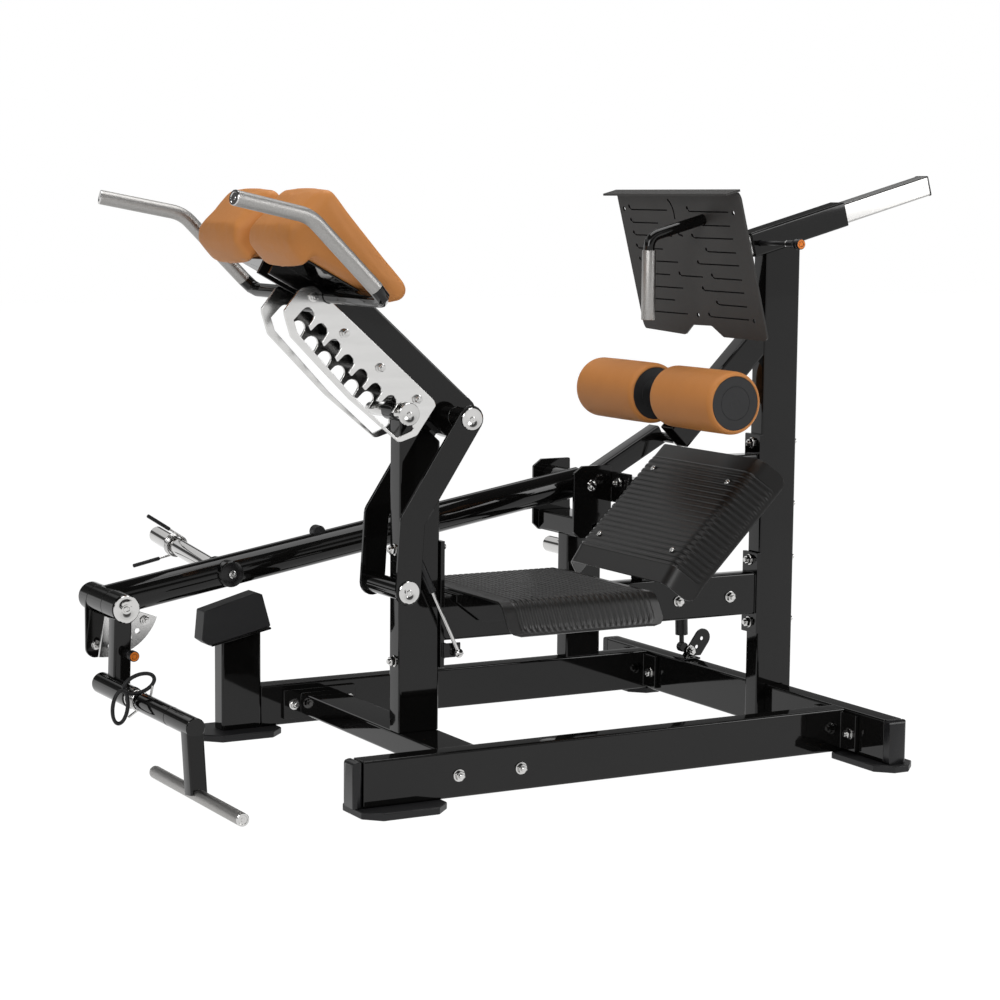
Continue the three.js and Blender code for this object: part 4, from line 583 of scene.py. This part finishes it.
u, y, z = tread(437, 42, 7, 84, 13, 34, 452)
tread_piece("step_plate_ribbed", np.stack([515 + u, y, 485.5 - rib_high + z], axis=-1), "step_plate")
u, y, z = tread(396, 54, 11, 84, 13, 48, 396)
lift = z - rib_high
incline = np.stack([1328 - (u + lift) / math.sqrt(2), -y, 828 - (u - lift) / math.sqrt(2)], axis=-1)
tread_piece("incline_plate_ribbed", incline, "incline_plate")


# Foot plate: folded steel sheet with a fine dark texture on the telescope's front end, with grip
# grooves that are each a line hooked at one end with a dot, two bowed grooves and four bolt holes.
sheet_texture = moulded("sheet_texture", (0.040, 0.0385, 0.037), 0.5, 1300, 0.25, 0.3)
plate_face = 372.3
face_foot = on_slope(-plate_face, 0)
face_up = np.array([-math.sin(slope), 0, math.cos(slope)])
face_out = np.array([-math.cos(slope), 0, -math.sin(slope)])


def on_plate(y, up, out=0.0):
    """A point on the foot plate's face: across it, up it and out of it."""
    return face_foot + np.array([0, y, 0]) + up * face_up + out * face_out


grooves = [
    ((252, 166), (57, 155)), ((257, 127), (118, 117)), ((256, 89), (59, 80)), ((255, 50), (121, 41)),
    ((254, 11), (57, 4)), ((257, -28), (112, -34)), ((250, -69), (60, -72)), ((252, -107), (115, -109)),
    ((250, -147), (63, -148)), ((-47, 162), (-244, 151)), ((-97, 122), (-239, 112)), ((-44, 84), (-241, 76)),
    ((-99, 45), (-241, 37)), ((-45, 7), (-243, 1)), ((62, -28), (-54, -36)), ((-101, -29), (-243, -39)),
    ((-42, -68), (-240, -76)), ((-98, -107), (-240, -115)), ((-45, -144), (-237, -152)),
]
plate_holes = [(282, 158), (-266, 149), (12, -149), (-260, -154)]
bowed_grooves = ([(44, 187), (24, 168), (26, 129)], [(32, 96), (26, 86), (3, 81)])
cutters = []
groove_wide, bowed_wide, groove_deep, dot_radius, hole_radius = 3.8, 5.5, 3.6, 5, 6.5
for (y0, up0), (y1, up1) in grooves:
    path = eased_path([on_plate(y0, up0), on_plate(y0 - 7, up1 + 1), on_plate(y1, up1)], 5, 6)
    cutters.append(swept(path, face_out, box_outline(groove_wide, 2 * groove_deep, 1.2, 3)))
    cutters.append(rod(on_plate(y0, up0, 5), on_plate(y0, up0, -groove_deep), dot_radius, 0.4, 20))
for bow in bowed_grooves:
    path = eased_path([on_plate(*spot) for spot in bow], 20, 8)
    cutters.append(swept(path, face_out, box_outline(bowed_wide, 2 * groove_deep, 1.2, 3)))
for y0, up0 in plate_holes:
    cutters.append(rod(on_plate(y0, up0, 20), on_plate(y0, up0, -40), hole_radius, 0.5, 24))
groove_shadow = moulded("groove_shadow", (0.006, 0.006, 0.006), 0.7, 900, 0.1, 0.1)
foot_plate = dressed("foot_plate", "pressed", sheet_texture, 0)
cutter = made("groove_cutter", cutters, groove_shadow, "telescope")
carve = foot_plate.modifiers.new("grooves", "BOOLEAN")
carve.operation = "DIFFERENCE"
carve.solver = "EXACT"
carve.object = cutter
carve.use_self = True
carve.material_mode = "TRANSFER"
bpy.context.view_layer.update()
carved = bpy.data.meshes.new_from_object(foot_plate.evaluated_get(bpy.context.evaluated_depsgraph_get()))
foot_plate.modifiers.remove(carve)
foot_plate.data = carved
bpy.data.objects.remove(cutter)
carved.set_sharp_from_angle(angle=math.radians(25))


# Foot handle: a bent black tube bolted through the plate, with a knurled steel grip pressed onto
# its lower end.
knurl = Finish("knurl", Metallic=1.0)
knurl_place = knurl.place()
knurl_grain = knurl.noise(knurl_place, 430, 2, 0.7)
knurl_cloud = knurl.noise(knurl_place, 300, 3, 0.7)
knurl.use(Base_Color=knurl.blend(knurl_cloud, (0.22, 0.215, 0.205, 1), (0.45, 0.44, 0.43, 1)),
          Roughness=knurl_cloud * 0.15 + 0.3, Normal=knurl.bump(knurl_grain, 0.8, 0.0007))
knurled_steel = knurl.material
handle_root = on_plate(-116, 130, 0.3)
handle_reach, neck_long, grip_long = 181, 35, 190.3
handle_elbow = handle_root + handle_reach * face_out
neck_end = handle_elbow - np.array([0, 0, neck_long])
handle_path = eased_path([handle_root, handle_elbow, neck_end], 36, 20)
made("foot_handle_tube", [swept(handle_path, far_face, circle_outline(15))], gloss_black, "telescope",
     ["foot_handle"])
grip_low = neck_end - np.array([0, 0, grip_long])
made("foot_grip_knurled", [rod(neck_end - np.array([0, 0, 0.3]), grip_low, 19, 2.5)], knurled_steel,
     "telescope", ["foot_handle_grip"])


# Hand bars beside the pads: one bent tube each, black where it is welded, knurled where it is held,
# with a dished steel plug in its open end. A folded tray under the pad carries the bar.
def plug(centre, outward, radius):
    """A dished end plug with a rim and a small centre screw."""
    outward = unit(outward)
    rim = [(0, radius), (2.4, radius), (3.4, radius - 1.2), (3.4, 0.72 * radius), (1.8, 0.66 * radius),
           (1.8, 0.3 * radius), (2.6, 0.26 * radius), (2.6, 0.1 * radius)]
    return turned(np.asarray(centre, float), outward, rim, 40)


bar_cross, bar_bend, bar_tip = (100, 1279), (-107, 1483), (-323, 1525)
bar_half, tip_spread, split_share = 403, 46, 0.14
for side, sign in (("near", -1), ("far", 1)):
    dressed(f"pad_frame_{side}", "coated", gloss_black, 1.0)
    cross = np.array([bar_cross[0], sign * bar_half, bar_cross[1]])
    bend = np.array([bar_bend[0], sign * bar_half, bar_bend[1]])
    tip = np.array([bar_tip[0], sign * (bar_half + tip_spread), bar_tip[1]])
    start = cross + split_share * (bend - cross) + 0.3 * unit(bend - cross)
    end_face = tip - 3.5 * unit(tip - bend)
    path = eased_path([start, bend, end_face], 30, 20)
    made(f"hand_bar_{side}_knurled", [swept(path, far_face, circle_outline(19, 48))], knurled_steel,
         "pad_carriage", [f"hand_bar_{side}"])
    made(f"hand_bar_{side}_plug", [plug(end_face, tip - bend, 18.8)], bright_steel, "pad_carriage")


# Hip pads: foam blocks under stretched tan leather. The leather is a solid remesh of the pad that
# is blown up a little as cloth, so that its faces crown and its corners draw in.
def tan_leather(name):
    """Leather: cloudy tan with paler brushed streaks, and pores and grain in its relief."""
    hide = Finish(name, Specular_IOR_Level=0.28)
    spot = hide.place()
    brushed = hide.noise(hide.place((14, 14, 90)), 9, 4, 0.6)
    pores = hide.add("ShaderNodeTexVoronoi", {"feature": "DISTANCE_TO_EDGE"}, {"Vector": spot, "Scale": 620})
    grain = hide.noise(spot, 460, 4, 0.65)
    cloud = hide.noise(spot, 11, 3)
    base = hide.blend(cloud, (0.600, 0.228, 0.058, 1), (0.690, 0.276, 0.076, 1))
    colour = hide.blend(brushed * 0.34, base, (0.76, 0.34, 0.11, 1))
    hide.use(Base_Color=colour, Roughness=grain * 0.18 + 0.42,
             Normal=hide.bump(pores * 1.4 + grain * 0.7 + brushed * 0.3, 0.3, 0.0008))
    return hide.material


leather = tan_leather("tan_leather")
pad_voxel, pad_shrink, pad_cap = 6.0, 1.6, 2.6
pad_pressure, cloth_frames = 3.0, 20


def upholstered(node):
    """A pad's leather: the solid remeshed, drawn in a little and blown up as cloth. A point may
    move no further than the cap: its shift is scaled by cap / length where it is longer."""
    mesh = frame["nodes"][node].data.copy()
    mesh.name = f"{node}_leather"
    join_flat(mesh, 0.01)
    piece = bpy.data.objects.new(mesh.name, mesh)
    bpy.context.scene.collection.objects.link(piece)
    voxels = piece.modifiers.new("voxels", "REMESH")
    voxels.mode = "VOXEL"
    voxels.voxel_size = pad_voxel / 1000
    inwards = piece.modifiers.new("inwards", "DISPLACE")
    inwards.strength = -pad_shrink / 1000
    inwards.mid_level = 0
    bpy.context.view_layer.update()
    shrunk = bpy.data.meshes.new_from_object(piece.evaluated_get(bpy.context.evaluated_depsgraph_get()))
    piece.modifiers.clear()
    piece.data = shrunk
    count = len(shrunk.vertices)
    rest = np.empty(count * 3)
    shrunk.vertices.foreach_get("co", rest)
    cloth = piece.modifiers.new("cloth", "CLOTH")
    cloth.settings.use_pressure = True
    cloth.settings.uniform_pressure_force = pad_pressure
    cloth.settings.effector_weights.gravity = 0
    cloth.settings.quality = 5
    cloth.point_cache.frame_end = cloth_frames
    for step in range(1, cloth_frames + 1):
        bpy.context.scene.frame_set(step)
    blown = piece.evaluated_get(bpy.context.evaluated_depsgraph_get()).data
    moved = np.empty(count * 3)
    blown.vertices.foreach_get("co", moved)
    shift = (moved - rest).reshape(-1, 3)
    far = np.linalg.norm(shift, axis=1)[:, None]
    shift *= np.minimum(1, pad_cap / 1000 / np.maximum(far, 1e-9))
    piece.modifiers.clear()
    bpy.context.scene.frame_set(1)
    shrunk.vertices.foreach_set("co", (rest.reshape(-1, 3) + shift).ravel())
    shrunk.update()
    shade(shrunk, leather, 180)
    smooth = piece.modifiers.new("smooth", "SMOOTH")
    smooth.iterations = 8
    smooth.factor = 0.5
    finer = piece.modifiers.new("finer", "SUBSURF")
    finer.levels = finer.render_levels = 1
    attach(piece, "pad_carriage")
    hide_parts(node)


for node in ["pad_near", "pad_far"]:
    upholstered(node)


# Ankle rollers: foam sleeves in the same leather that turn on the axle, with flat black discs set
# into both ends. A sleeve's skin bulges by a cosine and rolls in over its ends.
roller_spot, roller_long, roller_gap = (1174, 991), 302, 92
sleeve_radius, sleeve_bulge, sleeve_corner = 85.4, 0.6, 19
disc_black = moulded("disc_black", (0.020, 0.020, 0.021), 0.42, 900, 0.12)
for side, sign in (("near", -1), ("far", 1)):
    body = f"{side}_roller"
    middle = np.array([roller_spot[0], sign * (roller_gap + roller_long) / 2, roller_spot[1]])
    half = roller_long / 2
    flat_half = half - sleeve_corner
    bulge = [(along, sleeve_radius + sleeve_bulge * math.cos(math.pi * along / roller_long))
             for along in np.linspace(-flat_half, flat_half, 23)]
    corner = [(flat_half + sleeve_corner * math.sin(a), sleeve_radius - 11 * (1 - math.cos(a)))
              for a in np.linspace(0.15, 1.5, 10)]
    end = corner + [(half - 0.4, 73.9), (half - 1.6, 73.2), (half - 5, 73)]
    profile = [(-along, radius) for along, radius in reversed(end)] + bulge + end
    sleeve = made(f"roller_{side}_leather", [turned(middle, far_face, profile, 128)], leather, body,
                  [f"roller_{side}"], 50)
    discs = []
    for outward in (-1, 1):
        face = [(-4.8, 72.8), (-1.6, 72.8), (-0.8, 72), (-0.8, 46.5), (-1.7, 45.9), (-1.7, 44.9),
                (-0.8, 44.3), (-0.8, 13), (-1.2, 12.6)]
        discs.append(turned(middle + np.array([0, outward * half, 0]), (0, outward, 0), face, 96))
    made(f"roller_{side}_discs", discs, disc_black, body, (), 30)


# Lever weldment: a long round tube with a hinge knuckle at the front, a hub at the pivot, a square
# rear arm with the damper's peg, and a short cross tube that carries the weight horn.
lever_slope = math.radians(9.9)
knuckle = (-250, 414)
lever_y, rear_y = 622, 588
horn_x = 100
peg = (1532, 811)


def lever_z(x):
    """Height of the lever tube's axis at X."""
    return knuckle[1] + (x - knuckle[0]) * math.tan(lever_slope)


rear_slope, rear_long = math.radians(28.8), 300
rear_end = (pivot[0] + rear_long * math.cos(rear_slope), pivot[1] + rear_long * math.sin(rear_slope))
horn_root = (horn_x, lever_z(horn_x))
lever_parts = [
    rod((knuckle[0], lever_y, lever_z(knuckle[0])), (pivot[0], lever_y, lever_z(pivot[0])), 45, 1, 96),
    turned(at_y(pivot, 550.4), far_face, [(0, 35), (2, 38), (231, 38), (233, 35)], 72),
    swept([at_y(pivot, rear_y), at_y(rear_end, rear_y)], far_face, box_outline(60, 60, 7)),
    turned(at_y(knuckle, 559), far_face, [(0, 38.5), (1.5, 40), (111.5, 40), (113, 38.5)], 72),
    turned(at_y(horn_root, 560), far_face, [(0, 34), (3, 37), (119, 37), (119.7, 36)], 72),
    rod(at_y(peg, 444), at_y(peg, rear_y), 12, 1.5),
    rod(at_y(peg, 480.3), at_y(peg, rear_y), 15, 1),
]
made("lever_weldment", lever_parts, gloss_black, "lever", ["lever_arm"])
horn_disc = turned(at_y(horn_root, 560.4), near_face, [
    (0, 34), (1.2, 35), (3.2, 35), (4, 33.5), (4, 12), (3, 11), (3, 4)], 56)
made("horn_tube_disc", [horn_disc], satin_black, "lever")
dressed("sector_plate", "polished", plate_steel, 1.0)
stop_cap = turned((393, 606, 573), far_face, [(0, 17), (2, 19), (30, 19), (32, 17)], 40)
made("lever_stop_cap", [stop_cap], foot_rubber, "lever")


# Handle link: two outer knuckles on the lever's front hinge, and a square strut and a plate welded
# to them that carry the pull bar's bearing tube and shaft. It is coated like the frame.
bearing = (-280, 195)
link_parts = [
    turned(at_y(knuckle, 469.3), far_face, [(0, 38.2), (1.8, 40), (88, 40), (89.4, 38.6)], 72),
    turned(at_y(knuckle, 672.4), far_face, [(0, 38.6), (1.4, 40), (63.5, 40), (65.4, 38)], 72),
    swept([(-250.5, 510, 414), (-257, 510, 195)], far_face, box_outline(50, 50, 6)),
    turned(at_y(bearing, 345), far_face, [(0, 28), (2, 30), (233, 30), (235, 28)], 72),
    rod(at_y(bearing, -84.8), at_y(bearing, 345), 19, 1),
    rod(at_y(knuckle, 470), at_y(knuckle, 737), 12, 1),
]
angle = np.linspace(math.pi, 2 * math.pi, 14)
plate_x, plate_z, plate_half = -262, 276, 28.3
plate_round = np.stack([plate_x + plate_half * np.cos(angle), plate_z + plate_half * np.sin(angle)], axis=1)
plate_outline = np.concatenate([[(plate_x - plate_half, knuckle[1])], plate_round,
                                [(plate_x + plate_half, knuckle[1])]])
link_parts.append(cut_plate(plate_outline, 677.2, 686.8))
made("handle_link_welded", link_parts, gloss_black, "link", ["handle_link"])
link_discs = pin_disc(at_y(knuckle, 469.2), near_face, 37.6, 5)
link_discs += pin_disc(at_y(bearing, 580), far_face, 27, 4)
bearing_ring = [(0, 25), (1, 27), (6, 27), (7.5, 25), (7.5, 19.2)]
link_discs += [turned(at_y(bearing, 345.2), near_face, bearing_ring, 56)]
made("handle_link_discs", link_discs, bright_steel, "link")


# Pull bar: a sleeve that turns on the link's shaft, with a leaning square drop arm welded to it and
# a knurled steel cross bar through the arm's foot.
sleeve_profile = [(0, 24), (2, 26), (150, 26), (151, 25.2), (157, 25.2), (158, 26), (356, 26), (358, 24.2)]
cross_bar = (-278, 24)
pull_parts = [
    turned(at_y(bearing, -96.7), far_face, sleeve_profile, 72),
    swept([at_y(bearing, -70), at_y(cross_bar, -92)], far_face, box_outline(46, 48, 6)),
]
made("pull_bar_arm", pull_parts, gloss_black, "pull_bar", ["drop_handle"])
made("pull_bar_knurled", [rod(at_y(cross_bar, -386.5), at_y(cross_bar, 186.5), 17, 1)], knurled_steel,
     "pull_bar", ["hand_bar"])
bar_plugs = [plug(at_y(cross_bar, -386.6), near_face, 16.8), plug(at_y(cross_bar, 186.6), far_face, 16.8)]
made("pull_bar_plugs", bar_plugs, bright_steel, "pull_bar")


# Spring collars: one steel wire wound three times round the bar. The horn's ends in straight black
# grips, and the pull bar's ends in two finger loops.
def collar_path(radius, curls, leg_steps, leg_long, pitch=9.4, steps=24):
    """A helix (radius cos a, pitch a / 2 pi, radius sin a) that winds clockwise for its curls and
    leg_steps eighths of a turn more, with a straight leg along its tangent at each end."""
    spread = leg_steps * math.pi / 8
    turns = curls + leg_steps / 8
    share = np.linspace(0, turns, int(turns * steps) + 1)
    angle = spread - share * 2 * math.pi
    wire = np.stack([radius * np.cos(angle), share * pitch, radius * np.sin(angle)], axis=1)
    first, last = wire[0], wire[-1]
    leg_first = first + leg_long * unit((-first[2], 0, first[0]))
    leg_last = last + leg_long * unit((last[2], 0, -last[0]))
    return np.concatenate([[leg_first], wire, [leg_last]])


def carried(points, centre, turn_degrees, tilt_degrees):
    """Points turned about the collar's own axis, tilted with the bar, and moved to their place."""
    turn, tilt = math.radians(turn_degrees), math.radians(tilt_degrees)
    x = points[:, 0] * math.cos(turn) + points[:, 2] * math.sin(turn)
    z = points[:, 2] * math.cos(turn) - points[:, 0] * math.sin(turn)
    y = points[:, 1] * math.cos(tilt) - z * math.sin(tilt)
    return np.stack([x, y, points[:, 1] * math.sin(tilt) + z * math.cos(tilt)], axis=1) + np.asarray(centre)


def finger_loop(centre, run, half_long, half_wide):
    """A closed oval of round rubber: its middle line is centre + long cos a run + wide sin a side."""
    run = unit(run)
    side = unit(np.cross(run, far_face))
    angle = np.linspace(0, 2 * math.pi, 49)[:-1]
    across, up = np.cos(angle)[:, None] * run, np.sin(angle)[:, None] * side
    ring = np.array(centre, float) + half_long * across + half_wide * up
    tube = circle_outline(5.4, 12)
    rings = (ring[:, None] + tube[None, :, :1] * (across + up)[:, None]
             + tube[None, :, 1:] * np.array(far_face))
    rows, columns, _ = rings.shape
    index = np.arange(rows * columns).reshape(rows, columns)
    after, next_to = np.roll(index, -1, axis=0), np.roll(index, -1, axis=1)
    both = np.roll(after, -1, axis=1)
    return rings.reshape(-1, 3), [np.stack([index, next_to, both, after], axis=-1).reshape(-1, 4)]


horn_tilt, horn_along = 5.7, 290
tilt_run = math.cos(math.radians(horn_tilt)), math.sin(math.radians(horn_tilt))
horn_centre = (horn_x, 680 + horn_along * tilt_run[0], horn_root[1] + horn_along * tilt_run[1])
wire_outline, wire_play, wire_side = circle_outline(3.4, 12), 0.6, (0.02, 1, 0.1)
flat_share = math.cos(math.pi / 8)
horn_wire = carried(collar_path(28.8 / flat_share - wire_play, 3, 3, 134), horn_centre, 10, horn_tilt)
made("horn_collar_wire", [swept(horn_wire, wire_side, wire_outline)], bright_steel, "lever",
     ["horn_collar"], 60)
grips, collar_grip = [], 84
for tip, root in ((horn_wire[0], horn_wire[1]), (horn_wire[-1], horn_wire[-2])):
    run = unit(tip - root)
    grips.append(rod(tip - collar_grip * run, tip + run, 5.6, 3, 24))
made("horn_collar_grips", grips, foot_rubber, "lever")
handle_wire = carried(collar_path(22.8 / flat_share - wire_play, 3, 1, 46), at_y(bearing, 283), 34, 0)
made("handle_collar_wire", [swept(handle_wire, wire_side, wire_outline)], bright_steel, "link",
     ["handle_collar"], 60)
loops = [finger_loop((-283, 289, 243), (95, 0, 27), 44, 24),
         finger_loop((-341, 277, 187), (-11, 0, -85), 44, 21)]
made("handle_collar_loops", loops, foot_rubber, "link")


# Damper and gas strut: black bodies with polished rods, pinned through their eyes between the
# lever's peg and its anchor, and beside the front post.
for node in ["damper_body", "strut_cylinder"]:
    dressed(node, "turned", cap_plastic, 0.8)
dressed("damper_rod", "polished", bright_steel, 0.8)


# Pull pins: a shank in a black bushing, and a ribbed black knob with an orange plug. One holds the
# telescope in its sleeve, the other the handle link on its sector plate.
orange = moulded("orange_plug", (0.95, 0.25, 0.02), 0.35, 900, 0.1)
knob_profile = [(0, 9), (1, 12), (3, 14.2), (6, 14.8), (8, 13.9), (10, 14.8), (12, 13.9), (14, 14.8),
                (16, 13.9), (18, 14.8), (24, 14.8), (26, 13.4)]
plug_profile = [(0, 12.6), (0.6, 12.6), (1.2, 12), (1.2, 8.2), (0.7, 7.8), (0.7, 6.6), (1.2, 6.2), (1.2, 1)]


def pull_pin(name, x, z, seat, shank, body, node, ringed=True):
    """A pull pin at X and Z: its nose at the seat's Y, its knob the shank's length nearer. The ring
    is a steel collar behind the bushing, for a pin whose bushing stands clear of its tube."""
    root = np.array([x, seat, z])
    head = root - np.array([0, shank, 0])
    made(f"{name}_knob", [rod(root, head + np.array([0, 10, 0]), 7, 0.6, 32),
                          turned(head, near_face, [(-34, 9), (-33, 10.5), (-8, 10.5), (-7, 9), (0, 9)], 40),
                          turned(head, near_face, knob_profile, 56)],
         cap_plastic, body, [node])
    if ringed:
        made(f"{name}_ring", [turned(head, near_face, [(-40, 8), (-39.5, 10), (-35, 10), (-34.5, 8)], 40)],
             bright_steel, body)
    made(f"{name}_plug", [turned(head - np.array([0, 25.2, 0]), near_face, plug_profile, 48)],
         orange, body)


pin_along = -150
pin_x, _, pin_z = on_slope(pin_along, 0)
pull_pin("telescope_pin", pin_x, pin_z, -29.3, 176, "telescope_pull_pin", "telescope_pin")
pin_reach, pin_angle = 126, math.radians(-85.5)
pin_x, pin_z = knuckle[0] + pin_reach * math.cos(pin_angle), knuckle[1] + pin_reach * math.sin(pin_angle)
pull_pin("link_pin", pin_x, pin_z, 617.4, 157.4, "link_pull_pin", "link_pin", ringed=False)


# Fasteners: zinc-plated hex bolts and nuts on washers through the frame's flanges, the racks and
# the lever, domed button screws in the incline plate, and small screws in the step plate.
def nut(centre, outward, radius=13.5, tail=7):
    """A washer, a hexagon with a chamfered top, and the bolt's end."""
    outward = unit(outward)
    centre = np.asarray(centre, float)
    washer = [(0.1, 1.15 * radius), (0.5, 1.2 * radius), (2.4, 1.2 * radius), (2.8, 1.12 * radius)]
    hexagon = [(0, 0.93 * radius), (1, radius), (9.5, radius), (11, 0.86 * radius)]
    bolt_end = [(0, 0.52 * radius), (tail - 1, 0.52 * radius), (tail, 0.44 * radius)]
    return [turned(centre, outward, washer, 32), turned(centre + 2.6 * outward, outward, hexagon, 6),
            turned(centre + 13 * outward, outward, bolt_end, 20)]


def button(centre, outward, radius=9):
    """A low domed screw head with a recess."""
    dome = [(0, radius), (1.2, 0.97 * radius), (2.6, 0.8 * radius), (3.3, 0.5 * radius), (3.3, 0.34 * radius),
            (1.6, 0.3 * radius)]
    return [turned(centre, outward, dome, 28)]


left_face, right_face = (-1, 0, 0), (1, 0, 0)
frame_nuts = [
    ((306, -410, 78), near_face), ((487, -410, 78), near_face), ((306, 592, 80), near_face),
    ((480, 592, 80), near_face), ((306, 664, 80), far_face), ((480, 664, 80), far_face),
    ((1213, -30, 406), near_face), ((1388, -30, 407), near_face), ((1213, 30, 406), far_face),
    ((1388, 30, 407), far_face),
    ((460.5, 0, 602), right_face), ((460.5, 0, 302), right_face), ((328, 0, 602), left_face),
    ((328, 0, 302), left_face),
    ((1333.5, 488, 686), left_face), ((1576, 449, 158), near_face),
]
for z in (844, 663, 506, 324):
    frame_nuts += [((1476, 0, z), left_face), ((1608.5, 0, z), right_face)]
for beam_y in (-380, 634):
    for shift in (-70, 70):
        frame_nuts += [((1505.7, beam_y + shift, 78), left_face), ((1578, beam_y + shift, 78), right_face)]
bolt_parts = [part for centre, outward in frame_nuts for part in nut(centre, outward)]
incline_out = (-1, 0, 1)
for x, y in ((1262, 190), (1081, 188), (1081, -192), (1260, -191)):
    bolt_parts += button(np.array([x, y, x - 500]) + 0.5 * unit(incline_out), incline_out)
made("frame_bolts", bolt_parts, bright_steel, "frame")
step_screws = [turned((x, y, 484.6), (0, 0, 1), [(0, 4), (0.6, 4), (0.9, 3.4)], 16)
               for x, y in ((626, 196), (642, 188), (885, 178), (619, -198), (633, -205))]
made("step_screws", step_screws, cap_plastic, "frame")
rack_nuts = [part for x, z in ((55, 1277), (143, 1183), (246, 1092), (354, 1007))
             for sign in (-1, 1) for part in nut((x, sign * 75, z), (0, sign, 0), 10.5, 5)]
made("rack_bolts", rack_nuts, bright_steel, "pad_carriage")
lever_nuts = nut((-139.4, 616, 353.7), near_face, 11, 5) + nut(at_y(horn_root, 556.5), near_face, 9, 4)
lever_nuts += nut(at_y(peg, 444), near_face, 12, 4)
made("lever_bolts", lever_nuts, bright_steel, "lever")
made("link_bolts", nut((-262, 677, 284), near_face, 11, 16), bright_steel, "link")
